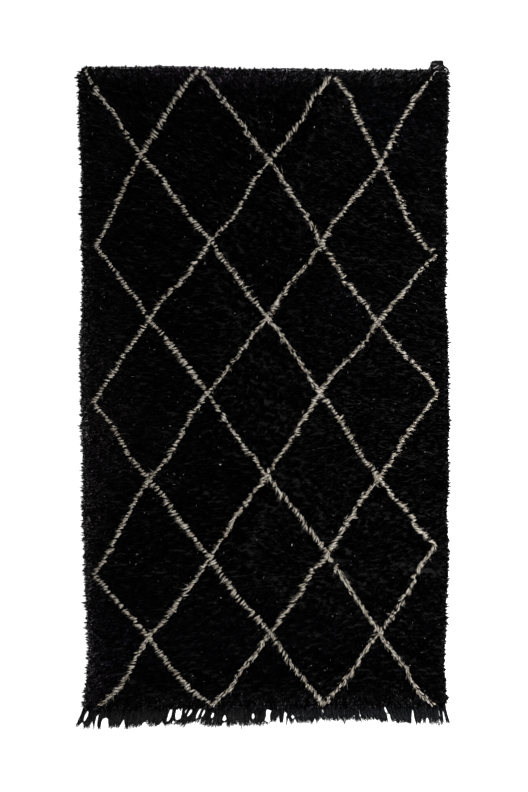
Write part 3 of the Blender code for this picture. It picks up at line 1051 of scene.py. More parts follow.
class Tint(Enum):
    """What some patches of the black wool add to its dye, as linear colours."""

    PLUM = (0.0075, 0.0056, 0.0085)
    BROWN = (0.0068, 0.0055, 0.0050)
    SLATE = (0.0012, 0.0015, 0.0026)
    ASH = (0.0045, 0.0042, 0.0048)
    DEEP = (-0.00020, -0.00019, -0.00020)


class TintPatch(NamedTuple):
    """A patch where the black wool's colour differs: its own tint, and in some patches painted light too.

    The fields are its tint, its middle and half sizes in metres, and how strong it is.
    """

    tint: Tint
    x: float
    y: float
    half_wide: float
    half_high: float
    strength: float


@dataclass(frozen=True)
class WoolDye:
    """The colours of the pile's strands.

    Attributes:
        outline: The rug's outline.
        black: The black wool's linear colour.
        right_share: The share of it that is left at the right side, where the wool is darker.
        darker_from: x from which it gets darker.
        darker_over: Over how many metres it does.
        ivory: The ivory wool's linear colour.
        patches: Where the black wool is tinted, some of them partly painted light.
        left_rim_light: What is added to the dye near the left rim, by y: painted light on the fuzz there.
        right_rim_light: The same at the right rim.
        top_rim_light: The same at the top end, by x.
        left_fade: How far in from the left side that painted light fades.
        right_fade: The same at the right side.
        top_fade: The same at the top end.
        rim_light_tint: The colour of that painted light.
        pale_share: The share of black strands that have a lighter fibre in them.
        pale: How much of the base colour that fibre adds.
        blotch: How far apart the blotches are that a patch breaks up into.
        shades: Mean and spread of the black strands' shades, as logarithms.
        end_shades: Spread of the shades from yarn end to yarn end, likewise.
        held_shades: The darkest and lightest of them.
        ivory_share: The share of the ivory's base colour that strands have on the mean.
        ivory_by_stretch: How much that wanders along the lines.
        ivory_by_strand: How much it differs from strand to strand.
        ivory_by_end: How much it differs from yarn end to yarn end.
        ivory_top: How much lighter it is at the top end.
        top_from: y from which it gets lighter.
        ivory_low: How much greyer it is at the lower left.
        low_left: x and y to the left of and below which it gets greyer.
        ivory_side_painted_shade: How much darker it is at a yarn end's sides, a painted shade where the outer
            strands lie lower.
        held_ivory: The darkest and lightest ivory share.
        tone_and_shade_warmth: How much of each part of its colour ivory wool gains as it gets darker, partly
            by its own tone and partly as the painted warm tint of shade.
    """

    outline: RugOutline
    black: tuple[float, float, float] = (0.00085, 0.00080, 0.00086)
    right_share: float = 0.44
    darker_from: float = -0.60
    darker_over: float = 1.0
    ivory: tuple[float, float, float] = (0.66, 0.61, 0.53)
    patches: tuple[TintPatch, ...] = table(
        TintPatch,  # tint, x, y, half_wide, half_high, strength
        # The three patches at y near 1.29, along the top end, are plum and ash tint and also a painted
        # highlight on strands that bend over the end.
        (Tint.PLUM, -0.18, 1.292, 0.30, 0.030, 4.4), (Tint.PLUM, -0.12, 1.250, 0.22, 0.055, 1.2),
        (Tint.ASH, -0.60, 1.290, 0.14, 0.030, 3.4), (Tint.ASH, 0.42, 1.284, 0.38, 0.036, 6.8),
        (Tint.SLATE, 0.50, 1.10, 0.24, 0.16, 2.0), (Tint.ASH, 0.68, 0.80, 0.07, 0.45, 0.30),
        (Tint.PLUM, -0.62, 1.11, 0.07, 0.035, 1.1), (Tint.PLUM, -0.63, 0.90, 0.05, 0.035, 1.0),
        # The long BROWN and ASH patches at x -0.66, y 0.12 and 0.20, are brownish tint and also painted light
        # on the side-lit fuzz of the left side.
        (Tint.BROWN, -0.66, 0.98, 0.08, 0.035, 1.1), (Tint.BROWN, -0.66, 0.12, 0.09, 0.32, 1.10),
        (Tint.BROWN, -0.62, -0.12, 0.10, 0.10, 1.5), (Tint.PLUM, -0.67, -0.25, 0.07, 0.10, 0.9),
        (Tint.BROWN, -0.68, -0.45, 0.06, 0.14, 1.0), (Tint.ASH, -0.66, 0.20, 0.09, 1.20, 0.85),
        (Tint.PLUM, -0.70, -0.90, 0.045, 0.45, 1.2), (Tint.PLUM, -0.66, -1.14, 0.08, 0.10, 1.4),
        (Tint.BROWN, -0.41, -0.26, 0.10, 0.14, 0.5), (Tint.SLATE, 0.35, 0.36, 0.12, 0.14, 1.2),
        (Tint.SLATE, -0.05, -0.98, 0.60, 0.18, 1.4), (Tint.SLATE, -0.55, -0.98, 0.16, 0.12, 1.4),
        (Tint.ASH, 0.10, -1.265, 0.90, 0.048, 6.0), (Tint.DEEP, 0.04, 0.20, 0.20, 0.80, 1.1),
        (Tint.DEEP, 0.58, -0.22, 0.22, 0.45, 0.9),
    )
    left_rim_light: tuple[Station, ...] = table(
        Station,  # along, at
        (-1.257, 0.050), (-0.100, 0.050), (0.120, 0.066), (0.350, 0.042), (0.600, 0.028), (1.309, 0.020),
    )
    right_rim_light: tuple[Station, ...] = table(
        Station,  # along, at
        (-1.257, 0.018), (-0.300, 0.011), (0.500, 0.016), (1.309, 0.034),
    )
    top_rim_light: tuple[Station, ...] = table(Station, (-0.739, 0.024), (0.751, 0.036))
    left_fade: float = 0.0105
    right_fade: float = 0.0034
    top_fade: float = 0.0110
    rim_light_tint: tuple[float, float, float] = (1.0, 0.95, 0.98)
    pale_share: float = 0.06
    pale: float = 4.0
    blotch: float = 0.05
    shades: tuple[float, float] = (-0.90, 1.00)
    end_shades: float = 0.25
    held_shades: tuple[float, float] = (-3.5, 1.5)
    ivory_share: float = 1.01
    ivory_by_stretch: float = 0.08
    ivory_by_strand: float = 0.16
    ivory_by_end: float = 0.20
    ivory_top: float = 0.11
    top_from: float = 1.05
    ivory_low: float = 0.10
    low_left: tuple[float, float] = (-0.30, 0.15)
    ivory_side_painted_shade: float = 0.40
    held_ivory: tuple[float, float] = (0.16, 1.08)
    tone_and_shade_warmth: tuple[float, float, float] = (0.10, -0.05, -0.26)

    def rim_painted_light(self, x: Array, y: Array) -> Array:
        """The painted light on the fuzz near the rim: each side's amount times exp(-distance / fade), added
        up.
        """
        sides = (
            (x - profile(self.outline.left, y), profile(self.left_rim_light, y), self.left_fade),
            (profile(self.outline.right, y) - x, profile(self.right_rim_light, y), self.right_fade),
            (profile(self.outline.top, x) - y, profile(self.top_rim_light, x), self.top_fade),
        )
        return np.sum([rim_light_amount * np.exp(-np.maximum(away, 0.0) / fade) for away, rim_light_amount, fade in sides], axis=0)

    def of_black(self, x: Array, y: Array, count: int, draw: Draw) -> Array:
        """The colour of black strands.

        The dye is the base colour, darker to the right, plus each patch's tint, which fades as
        exp(-(dx / half wide) squared - (dy / half high) squared) and breaks up with a wander, plus
        painted light on the fuzz near the rim, all times a seeded spread, which the strands of a yarn
        end share in part.
        A few strands hold a lighter fibre.

        Args:
            x: Where the strands are, across.
            y: Where they are, up.
            count: Strands to a yarn end.
            draw: Picks the spread.

        Returns:
            Strands by 3.
        """
        kept = 1.0 - (1.0 - self.right_share) * eased((x - self.darker_from) / self.darker_over)
        base = kept[:, None] * np.array(self.black)
        # painted light on the fuzz near the rim
        colour = base + self.rim_painted_light(x, y)[:, None] * np.array(self.rim_light_tint)
        broken = 0.65 + 0.5 * wander(x, y, self.blotch, 41)
        for patch in self.patches:
            far = ((x - patch.x) / patch.half_wide) ** 2 + ((y - patch.y) / patch.half_high) ** 2
            weight = patch.strength * np.exp(-far) * np.clip(broken, 0.1, 1.3)
            colour += weight[:, None] * np.array(patch.tint.value)
        by_strand = draw.normal(*self.shades, len(x))
        spread = by_strand + np.repeat(draw.normal(0, self.end_shades, len(x) // count), count)
        spread = np.exp(spread.clip(*self.held_shades))[:, None]
        pale = (draw.random(len(x)) < self.pale_share)[:, None]
        return colour * spread + self.pale * pale * base

    def of_ivory(self, x: Array, y: Array, count: int, draw: Draw) -> Array:
        """The colour of ivory strands.

        It is the base colour, lighter at the top end and greyer at the lower left, and lighter or
        greyer by stretches and by yarn ends. It is darker at a yarn end's sides, a painted shade, and
        browner where it is darker, partly by its own tone and partly as the painted warm tint of shade.

        Args:
            x: Where the strands are, across.
            y: Where they are, up.
            count: Strands to a yarn end.
            draw: Picks the spread.

        Returns:
            Strands by 3.
        """
        share = self.ivory_share + self.ivory_by_stretch * wander(x, y, 0.20, 43)
        share = share + draw.normal(0.0, self.ivory_by_strand, len(x))
        low_left = eased((self.low_left[0] - x) / 0.15) * eased((self.low_left[1] - y) / 0.10)
        share += self.ivory_top * eased((y - self.top_from) / 0.10) - self.ivory_low * low_left
        share += np.repeat(draw.normal(0.0, self.ivory_by_end, len(x) // count), count)
        if count > 1:
            # painted shade: a yarn end's outer strands are darker
            share -= np.tile(self.ivory_side_painted_shade * np.linspace(-1, 1, count) ** 2, len(x) // count)
        share = np.clip(share, *self.held_ivory)[:, None]
        # browner where darker: partly the strand's own tone, partly the painted warm tint of shade
        warm = 1.0 + (1.0 - share) * np.array(self.tone_and_shade_warmth)
        return np.array(self.ivory) * share * warm


# ---------------------------------------------------------------------------------------------
# Sub-assemblies
# ---------------------------------------------------------------------------------------------


@dataclass
class GroundWeave:
    """The woven ground that holds the knots.

    Attributes:
        outline: The rug's outline.
        rows: How many rows of knots there are.
        columns: How many faces it has across.
        inset: How far it stays inside the pile's rim, as a share of the way across and up.
        top: Height of its upper side.
        ridge: How far the ridge of a knot row stands out below.
        seat: Height of the ridges, which the backs of the ivory knots leave free.
    """

    outline: RugOutline
    rows: int = 170
    columns: int = 12
    inset: float = 0.002
    top: float = 0.006
    ridge: float = 0.0012
    seat: float = 0.0007

    def surface(self) -> tuple[Array, Indices]:
        """The closed sheet.

        Both sides are grids over shares of the way across and up, two faces to a row of knots and
        closer together near the rug's sides, where the outline turns. The upper side is at a
        wandering height near the top. The lower side is lowest on each row's middle and lies one
        ridge above that between rows. A wall joins the rims of the two grids.

        Returns:
            Its points and its triangles.
        """
        up_count = 2 * self.rows + 1
        spaced = (1 - np.cos(np.linspace(0, math.pi, self.columns + 1))) / 2
        across, up = np.meshgrid(
            self.inset + (1 - 2 * self.inset) * spaced,
            np.linspace(self.inset, 1 - self.inset, up_count),
        )
        x, y = self.outline.spot(across, up)
        between = (np.arange(up_count) % 2 == 0)[:, None]
        below = np.broadcast_to(np.where(between, self.seat + self.ridge, self.seat), x.shape)
        above = self.top * (1.0 + 0.06 * wander(x, y, 0.09, 51))
        layers = [np.stack([x, y, z], axis=2).reshape(-1, 3) for z in (above, below)]
        number = np.arange(x.size).reshape(x.shape)
        a, b, c, d = number[:-1, :-1], number[:-1, 1:], number[1:, 1:], number[1:, :-1]
        face_up = np.concatenate([np.stack(face, -1).reshape(-1, 3) for face in ((a, b, c), (a, c, d))])
        face_down = face_up[:, ::-1] + x.size
        rim = np.concatenate([number[0, :-1], number[:-1, -1], number[-1, :0:-1], number[:0:-1, 0]])
        after = np.roll(rim, -1)
        below_rim, below_after = rim + x.size, after + x.size
        halves = ((rim, below_rim, below_after), (rim, below_after, after))
        wall = np.concatenate([np.stack(half, 1) for half in halves])
        return np.concatenate(layers), np.concatenate([face_up, face_down, wall])

    def build(self, finish: Material) -> Piece:
        """Builds and dresses the sheet.

        Args:
            finish: The ground's material.

        Returns:
            The piece.
        """
        points, triangles = self.surface()
        return dress(add_mesh("ground_weave", points, triangles), finish, Slot.PILE, Node.FIELD)

    def area(self) -> float:
        """The sheet's flat area in square metres, by the shoelace rule round its rim."""
        share = np.linspace(self.inset, 1 - self.inset, 200)
        low, high = np.full(200, self.inset), np.full(200, 1 - self.inset)
        x, y = self.outline.spot(
            np.concatenate([share, high, share[::-1], low]),
            np.concatenate([low, share, high, share[::-1]]),
        )
        return float(abs(np.dot(x, np.roll(y, -1)) - np.dot(y, np.roll(x, -1))) / 2)


class Knots(NamedTuple):
    """Where the pile's knots are tied and how their pile lies."""

    x: Array
    y: Array
    lie: Array
    reach: Array
    height: Array
    row: Indices


class StrandPoint(NamedTuple):
    """One station of a strand, as shares of the strand's reach, its rise and its width."""

    out: float
    up: float
    wide: float


@dataclass(frozen=True)
class StrandMake:
    """How the strands of one sort are made.

    Attributes:
        ends: Yarn ends to a knot.
        count: Strands to a yarn end.
        points: The stations, from root to tip.
        radius: Half the width where a strand is thickest, in metres.
        turn: How far a knot's yarn ends are turned from its lie, in radians.
        splay: How far the strands of a yarn end spread, in radians.
        scatter: How far roots lie from their yarn end, in metres.
        breadth: How far apart a yarn end's outer strands are.
        crown: How much lower a yarn end's outer strands lie than its middle.
        reach: Share of the knot's reach.
        lift: How much higher the strands lie than the knot's pile, in metres.
    """

    ends: int
    count: int
    points: tuple[StrandPoint, ...]
    radius: float
    turn: float
    splay: float
    scatter: float
    breadth: float = 0.0
    crown: float = 0.0
    reach: float = 1.0
    lift: float = 0.0


@dataclass
class KnottedPile:
    """The knots and the strands that stand in them.

    Attributes:
        outline: The rug's outline.
        lattice: The ivory lattice.
        lie: The lie of the pile.
        dye: The wool's colours.
        rows: Rows of knots up the rug.
        columns: Knots in a row.
        bands: How many pieces the black pile is made in.
        black: How black strands are made.
        ivory: How ivory strands are made.
        fuzz: How the fine ivory fibres between them are made.
        row_apart: How far apart a knot's yarn ends are, up the rug.
        knot_apart: The same, across the rug.
        reach: How far a strand leans over, in metres.
        height: Mean height of the pile.
        lump: Rise of the lumps over that.
        root: Height at which strands leave the ground.
        clump: How far tips draw together into clumps.
        left_reach: Share of the reach that is left at the left side.
        right_reach: The same at the right side.
        top_reach: The same at the top end.
        bottom_reach: The same at the bottom end.
        along_line: How much shorter an ivory yarn end is where the pile lies along its line.
        shown: Where along its reach a strand shows, as a share.
        edge_band: How far in from the rim the reach grows to its full length.
        low_band: How far in from a side the pile grows to its full height.
        low_edge: The share of its height that it has at the side.
        turn_band: How far in from the rim the pile turns outwards.
        turn_pull: How strongly it does.
        knot_stray: How far a knot strays across, as a share of the distance to the next.
        row_stray: How far it strays up, as a share of the distance between rows.
        beats: How far a row is beaten in unevenly, by wide and by narrow stretches, likewise.
        beat_lengths: How long those stretches are, in metres.
        knot_turn: How far a knot's lie differs, in radians.
        knot_reach: How much black knots' reach differs, as a logarithm.
        ivory_reach: How much ivory yarn ends' reach differs, likewise.
        end_reach: How much the reach of a knot's yarn ends differs, as a share.
        strand_reach: How much that of a yarn end's strands differs, as a share.
        end_low: How much lower some yarn ends lie, as a share.
        tip_drop: How far some tips sink, as a share of their rise.
        rough: How much the height differs from knot to knot.
        lump_length: How far apart lumps are.
        clump_length: How far apart clumps are.
    """

    outline: RugOutline
    lattice: Lattice
    lie: PileLie
    dye: WoolDye
    rows: int = 170
    columns: int = 154
    bands: int = 5
    black: StrandMake = StrandMake(
        2,
        2,
        table(StrandPoint, (0.0, 0.0, 0.0), (0.36, 0.84, 1.0), (1.0, 1.0, 0.0)),
        radius=0.0022,
        turn=0.17,
        splay=0.13,
        scatter=0.0012,
    )
    ivory: StrandMake = StrandMake(
        1,
        4,
        table(StrandPoint, (0.0, 0.0, 0.0), (0.22, 0.70, 0.9), (0.68, 1.0, 1.0), (1.06, 0.98, 0.0)),
        radius=0.00100,
        turn=0.12,
        splay=0.06,
        scatter=0.0003,
        breadth=0.0020,
        crown=0.0018,
        reach=0.98,
        lift=0.0018,
    )
    fuzz: StrandMake = StrandMake(
        1,
        3,
        table(StrandPoint, (0.0, 0.0, 0.0), (0.45, 0.92, 1.0), (1.0, 1.0, 0.0)),
        radius=0.0005,
        turn=0.25,
        splay=0.25,
        scatter=0.0014,
        reach=1.12,
        lift=0.0005,
    )
    row_apart: float = 0.0076
    knot_apart: float = 0.0046
    reach: float = 0.0205
    height: float = 0.0190
    lump: float = 0.0030
    root: float = 0.0040
    clump: float = 0.0045
    left_reach: float = 0.42
    right_reach: float = 0.32
    top_reach: float = 0.28
    bottom_reach: float = 0.90
    along_line: float = 0.14
    shown: float = 0.62
    edge_band: float = 0.030
    low_band: float = 0.024
    low_edge: float = 0.72
    turn_band: float = 0.018
    turn_pull: float = 4.0
    knot_stray: float = 0.16
    row_stray: float = 0.13
    beats: tuple[float, float] = (0.35, 0.22)
    beat_lengths: tuple[float, float] = (0.16, 0.045)
    knot_turn: float = 0.15
    knot_reach: float = 0.10
    ivory_reach: float = 0.08
    end_reach: float = 0.16
    strand_reach: float = 0.12
    end_low: float = 0.10
    tip_drop: float = 0.45
    rough: float = 0.0010
    lump_length: float = 0.14
    clump_length: float = 0.034
    seed: int = 26
    draw: Draw = field(init=False)

    def __post_init__(self) -> None:
        """Starts the seeded draw."""
        self.draw = np.random.default_rng(self.seed)

    def edge_share(self, across: Array, up: Array) -> Array:
        """The share of the reach that strands keep near the uneven rim, easing to all of it further in.

        Args:
            across: Shares of the way across.
            up: Shares of the way up.

        Returns:
            The share for each knot.
        """
        share = np.ones(across.shape)
        sides = (
            (across * FIELD_WIDE, up * FIELD_LONG, self.left_reach),
            ((1 - across) * FIELD_WIDE, up * FIELD_LONG, self.right_reach),
            ((1 - up) * FIELD_LONG, across * FIELD_WIDE, self.top_reach),
            (up * FIELD_LONG, across * FIELD_WIDE, self.bottom_reach),
        )
        for side, (inward, along, usual) in enumerate(sides):
            kept = usual * (1 + 0.50 * self.outline.uneven(along, side))
            share = np.minimum(share, kept + (1 - kept) * eased(inward / self.edge_band))
        return share

    def black_knots(self) -> Knots:
        """Ties the black knots, all but those that would cover the lattice.

        They stand on a grid of shares across and up, each moved a little, with rows that were
        beaten in unevenly. Near a side the pile turns outwards.

        Returns:
            The knots.
        """
        row, column = np.meshgrid(np.arange(self.rows), np.arange(self.columns), indexing="ij")
        shape = row.shape
        across = (column + 0.5 + self.draw.normal(0, self.knot_stray, shape)) / self.columns
        rough_x, rough_y = self.outline.spot(across, (row + 0.5) / self.rows)
        wide, narrow = (
            share * wander(rough_x, rough_y, length, seed)
            for share, length, seed in zip(self.beats, self.beat_lengths, (21, 22))
        )
        beat = (wide + narrow) * eased(np.minimum(row + 0.5, self.rows - row - 0.5) / 3)
        up = (row + 0.5 + beat + self.draw.normal(0, self.row_stray, shape)) / self.rows
        across, up = np.clip(across, 0.001, 0.999), np.clip(up, 0.001, 0.999)
        x, y = self.outline.spot(across, up)
        lie = self.lie.angle(x, y, self.draw.normal(0, 1, shape))
        lie = self.turned_out(across, up, lie) + self.draw.normal(0, self.knot_turn, shape)
        reach = self.reach * self.edge_share(across, up) * np.exp(self.draw.normal(0, self.knot_reach, shape))
        height = self.pile_height(x, y)
        inward = np.minimum(across, 1 - across) * FIELD_WIDE
        height *= self.low_edge + (1 - self.low_edge) * eased(inward / self.low_band)
        shown_x, shown_y = x + self.shown * reach * np.cos(lie), y + self.shown * reach * np.sin(lie)
        black = ~self.lattice.clears(shown_x, shown_y)
        return Knots(*(part[black] for part in (x, y, lie, reach, height, row)))

    def pile_height(self, x: Array, y: Array) -> Array:
        """The pile's height, which wanders in soft lumps and differs a little from knot to knot."""
        lumps = self.lump * wander(x, y, self.lump_length, 23)
        return self.height + lumps + self.draw.normal(0, self.rough, x.shape)

    def ivory_knots(self) -> Knots:
        """Ties the ivory yarn ends so that the middle of what shows of each is where the lattice has it.

        Where the pile lies along the line they are up to a seventh shorter.

        Returns:
            The yarn ends.
        """
        x, y, share, way, lie = self.lattice.yarn_ends(self.draw)
        share *= 1.0 - self.along_line * np.cos(lie - way) ** 2
        reach = self.reach * share * np.exp(self.draw.normal(0, self.ivory_reach, x.shape))
        root_x, root_y = x - self.shown * reach * np.cos(lie), y - self.shown * reach * np.sin(lie)
        return Knots(root_x, root_y, lie, reach, self.pile_height(x, y), np.zeros(x.shape, np.int32))

    def turned_out(self, across: Array, up: Array, angle: Array) -> Array:
        """The pile's way, turned outwards within a few rows of the rim.

        The arrow of each side is added with a weight that fades with the distance from it.

        Args:
            across: Shares of the way across.
            up: Shares of the way up.
            angle: The way that the pile would lie.

        Returns:
            The angles.
        """
        fade = self.turn_band
        left, right = np.exp(-across * FIELD_WIDE / fade), np.exp(-(1 - across) * FIELD_WIDE / fade)
        bottom, top = np.exp(-up * FIELD_LONG / fade), np.exp(-(1 - up) * FIELD_LONG / fade)
        arrow_x = np.cos(angle) + self.turn_pull * (right - left)
        arrow_y = np.sin(angle) + self.turn_pull * (top - bottom)
        return np.arctan2(arrow_y, arrow_x)

    def strand_paths(self, knots: Knots, make: StrandMake) -> tuple[Array, Array]:
        """The middle lines of the strands of these knots.

        Each knot's yarn ends stand side by side across the way that the pile lies. A strand
        leaves its yarn end upwards and bends over the way that the pile lies. At a station
        it is at the knot plus its own reach times the station's share outwards, at the root's
        height plus the rise times the station's share upwards, and its tip ends lower or higher.
        Tips also draw together into clumps, sideways to the way that they lie.

        Args:
            knots: The knots.
            make: How the strands are made.

        Returns:
            Paths and radii, one strand after another.
        """
        draw = self.draw
        ends, total = len(knots.x) * make.ends, len(knots.x) * make.ends * make.count
        out, up, wide = np.array(make.points).T

        def per_strand(values: Array) -> Array:
            """One value for each strand, from one for each knot or for each yarn end."""
            return np.repeat(values, total // len(values))

        side = np.tile(np.arange(make.ends) - (make.ends - 1) / 2, len(knots.x))
        way = np.repeat(knots.lie, make.ends) + draw.normal(0, make.turn, ends)
        apart = side * (self.row_apart * np.abs(np.cos(way)) + self.knot_apart * np.abs(np.sin(way)))
        place = np.tile(np.linspace(-0.5, 0.5, make.count), ends) * make.breadth
        apart, way = per_strand(apart) + place, per_strand(way)
        x = per_strand(knots.x) - apart * np.sin(way) + draw.normal(0, make.scatter, total)
        y = per_strand(knots.y) + apart * np.cos(way) + draw.normal(0, make.scatter, total)
        reach = make.reach * per_strand(knots.reach) * per_strand(varied(draw, ends, self.end_reach))
        reach *= varied(draw, total, self.strand_reach)
        way = way + draw.normal(0, make.splay, total)
        lower = 1 - self.end_low * np.abs(draw.normal(0, 1, ends)).clip(0, 2)
        rise = per_strand(knots.height) * per_strand(lower) + make.lift - self.root
        rise -= make.crown * np.tile(np.linspace(-1, 1, make.count) ** 2, ends)
        clump_x = self.clump * wander(x, y, self.clump_length, 24) * np.abs(np.sin(way))
        clump_y = self.clump * wander(x, y, self.clump_length, 25) * np.abs(np.cos(way))
        paths = np.empty((total, len(out), 3))
        paths[:, :, 0] = x[:, None] + (reach * np.cos(way))[:, None] * out + clump_x[:, None] * out**2
        paths[:, :, 1] = y[:, None] + (reach * np.sin(way))[:, None] * out + clump_y[:, None] * out**2
        paths[:, :, 2] = self.root + rise[:, None] * up
        paths[:, -1, 2] -= rise * draw.uniform(0.0, self.tip_drop, total)
        width = make.radius * varied(draw, total, STRAND_SPREAD)
        return paths, width[:, None] * wide

    def build_black(self, knots: Knots, finish: Material) -> list[Piece]:
        """Builds the black pile in bands of rows.

        Args:
            knots: The black knots.
            finish: The black wool.

        Returns:
            The pieces.
        """
        pieces = []
        for band in range(self.bands):
            in_band = knots.row * self.bands // self.rows == band
            paths, radii = self.strand_paths(Knots(*(part[in_band] for part in knots)), self.black)
            colour = self.dye.of_black(paths[:, -1, 0], paths[:, -1, 1], self.black.count, self.draw)
            roll = self.draw.uniform(0, TURN, len(paths))
            strands = Strands(paths, radii, colour, roll=roll)
            pieces.append(strands.build(f"black_pile_{band + 1}", finish, Slot.PILE, Node.FIELD))
        return pieces

    def build_ivory(self, knots: Knots, finish: Material) -> list[Piece]:
        """Builds the ivory strands and the fine fibres between them.

        Args:
            knots: The ivory yarn ends.
            finish: The ivory wool.

        Returns:
            The pieces.
        """
        pieces = []
        for name, make in (("ivory_pile", self.ivory), ("ivory_fuzz", self.fuzz)):
            paths, radii = self.strand_paths(knots, make)
            colour = self.dye.of_ivory(paths[:, -1, 0], paths[:, -1, 1], make.count, self.draw)
            roll = self.draw.uniform(0, TURN, len(paths))
            pieces.append(Strands(paths, radii, colour, roll=roll).build(name, finish, Slot.PILE, Node.FIELD))
        return pieces


class RimSide(NamedTuple):
    """How the pile ends along one side of the rug.

    The fields are the mean and the spread of how far its closing strands stand out, the pitch of
    its locks, their length on most of the side and on its first third, all in metres, how wide a
    lock's tip is as a share of the lock, and how far the rim stands in and out, in metres.
    """

    out: float
    spread: float
    pitch: float
    lock: float
    first_lock: float
    tip: float
    uneven: float


@dataclass
class PileRim:
    """The strands that close the pile's rim and the locks that stand out of it.

    Attributes:
        outline: The rug's outline.
        dye: The wool's colours.
        left: The left side.
        right: The right side.
        top: The top end.
        bottom: The bottom end, where the pile hangs over the fringe.
        pitch: From one closing strand to the next along a side.
        lock_strands: How many strands a lock has.
        hairs: How many thin hairs stand out of the rim.
        radius: Half a strand's width.
        height: Height of the strands' highest part.
        inner: How far inside the outline strands start.
        root: Height at which they start.
        spike: y of the one long lock on the left side.
        spike_reach: How far from there strands join it.
        spike_out: How much further out than others the last two stations of its strands are.
        spike_draw: How much those draw together.
        side_length: Length of the left and right side.
        end_length: Length of the top and bottom end.
        slant: How far a closing strand's tip strays along the side.
        lock_stray: How far a lock strays, as a share of the distance to the next.
        lock_widths: The least and most that a lock is wide, likewise.
        lock_lengths: Mean and spread of the locks' lengths over the side's, as logarithms.
        sway: How far a lock's tip strays along the side.
        hair_lengths: The least and most that a hair is long.
        hair_curl: How far hairs curl along the side.
    """

    outline: RugOutline
    dye: WoolDye
    left: RimSide = RimSide(0.0000, 0.0016, 0.0076, 0.0115, 0.0150, 0.25, 0.0040)
    right: RimSide = RimSide(-0.0004, 0.0016, 0.0070, 0.0110, 0.0110, 0.35, 0.0032)
    top: RimSide = RimSide(-0.0008, 0.0012, 0.0084, 0.0085, 0.0085, 0.35, 0.0024)
    bottom: RimSide = RimSide(0.0020, 0.0030, 0.0100, 0.0130, 0.0130, 0.30, 0.0040)
    pitch: float = 0.0024
    lock_strands: int = 3
    hairs: int = 60
    radius: float = 0.0018
    height: float = 0.0115
    inner: float = 0.014
    root: float = 0.0045
    spike: float = 1.264
    spike_reach: float = 0.0070
    spike_out: tuple[float, float] = (0.010, 0.018)
    spike_draw: tuple[float, float] = (0.3, 0.7)
    side_length: float = 2.56
    end_length: float = 1.46
    slant: float = 0.0022
    lock_stray: float = 0.60
    lock_widths: tuple[float, float] = (0.30, 1.30)
    lock_lengths: tuple[float, float] = (-0.40, 0.65)
    sway: float = 0.0026
    hair_lengths: tuple[float, float] = (0.006, 0.015)
    hair_curl: float = 0.011
    seed: int = 91

    def length(self, number: int) -> float:
        """Length of this side."""
        return self.side_length if number < 2 else self.end_length

    def spots(self, run: Array, away: Array, number: int) -> tuple[Array, Array]:
        """Takes places along a side, and how far outside it they are, to x and y."""
        vertical, far = number < 2, number in (1, 2)
        along = np.clip(run, 0.004, 0.996)
        fixed = np.full(along.shape, float(far))
        x, y = self.outline.spot(fixed, along) if vertical else self.outline.spot(along, fixed)
        outward = away if far else -away
        return (x + outward, y) if vertical else (x, y + outward)

    def closing_strands(self, side: RimSide, number: int, draw: Draw) -> Array:
        """The middle lines of the strands that close one side, at an even pitch and straight out.

        Args:
            side: The side's measures.
            number: Which side: 0 for the left, 1 for the right, 2 for the top and 3 for the bottom end.
            draw: Picks what differs.

        Returns:
            Strands by 3 stations by 3.
        """
        length = self.length(number)
        count = int(length / self.pitch)
        run = (np.arange(count) + draw.uniform(0, 1, count)) / count
        out = side.out + side.spread * draw.normal(0, 1, count).clip(-2, 2)
        out += side.uneven * self.outline.uneven(run * length, number)
        paths = np.empty((count, 3, 3))
        stations = ((0.0, np.full(count, -self.inner)), (0.6, np.zeros(count)), (1.0, out))
        for station, (lean, away) in enumerate(stations):
            place = run + lean * draw.normal(0, self.slant, count) / length
            paths[:, station, 0], paths[:, station, 1] = self.spots(place, away, number)
        top = self.height * draw.uniform(0.55, 1.15, count)
        tip = top * draw.uniform(0.35, 0.85, count)
        paths[:, :, 2] = np.stack([np.full(count, self.root), top, tip], axis=1)
        return paths

    def lock_paths(self, side: RimSide, number: int, draw: Draw) -> Array:
        """The middle lines of the strands of one side's locks.

        Locks stand at uneven places and are of uneven width. Their strands start spread over the
        lock and draw together to its tip, which is a little off its middle: at a share t of the
        way out they keep 1 - (1 - tip) t squared of their spread. The outer ones are shorter.

        Args:
            side: The side's measures.
            number: Which side, as for the closing strands.
            draw: Picks what differs.

        Returns:
            Strands by 4 stations by 3.
        """
        length = self.length(number)
        locks, each = int(length / side.pitch), self.lock_strands
        middle = (np.arange(locks) + 0.5 + draw.normal(0, self.lock_stray, locks))[:, None] / locks
        spread = np.linspace(-0.5, 0.5, each)[None]
        place = spread * draw.uniform(*self.lock_widths, locks)[:, None] / locks
        usual = side.first_lock + (side.lock - side.first_lock) * eased((middle - 0.27) / 0.08)
        tip = usual * np.exp(draw.normal(*self.lock_lengths, locks)).clip(0.05, 1.7)[:, None]
        tip = tip * draw.uniform(0.70, 1.05, (locks, each)) * (1.0 - 1.2 * spread**2)
        tip += side.uneven * self.outline.uneven(middle * length, number)
        sway = draw.normal(0, self.sway, locks)[:, None] / length
        rise = self.height * draw.uniform(0.70, 1.20, (locks, each))
        paths = np.empty((locks * each, 4, 3))
        stations = (
            (0.0, -self.inner + 0 * tip, self.root + 0 * rise),
            (0.45, -0.002 + 0 * tip, rise),
            (0.80, 0.62 * tip, 0.90 * rise),
            (1.0, tip, 0.55 * rise),
        )
        for station, (t, away, height) in enumerate(stations):
            run = middle + place * (1 - (1 - side.tip) * t**2) + sway * t**2
            x, y = self.spots(run, away, number)
            paths[:, station] = np.stack([x, y, height], axis=2).reshape(-1, 3)
        return paths

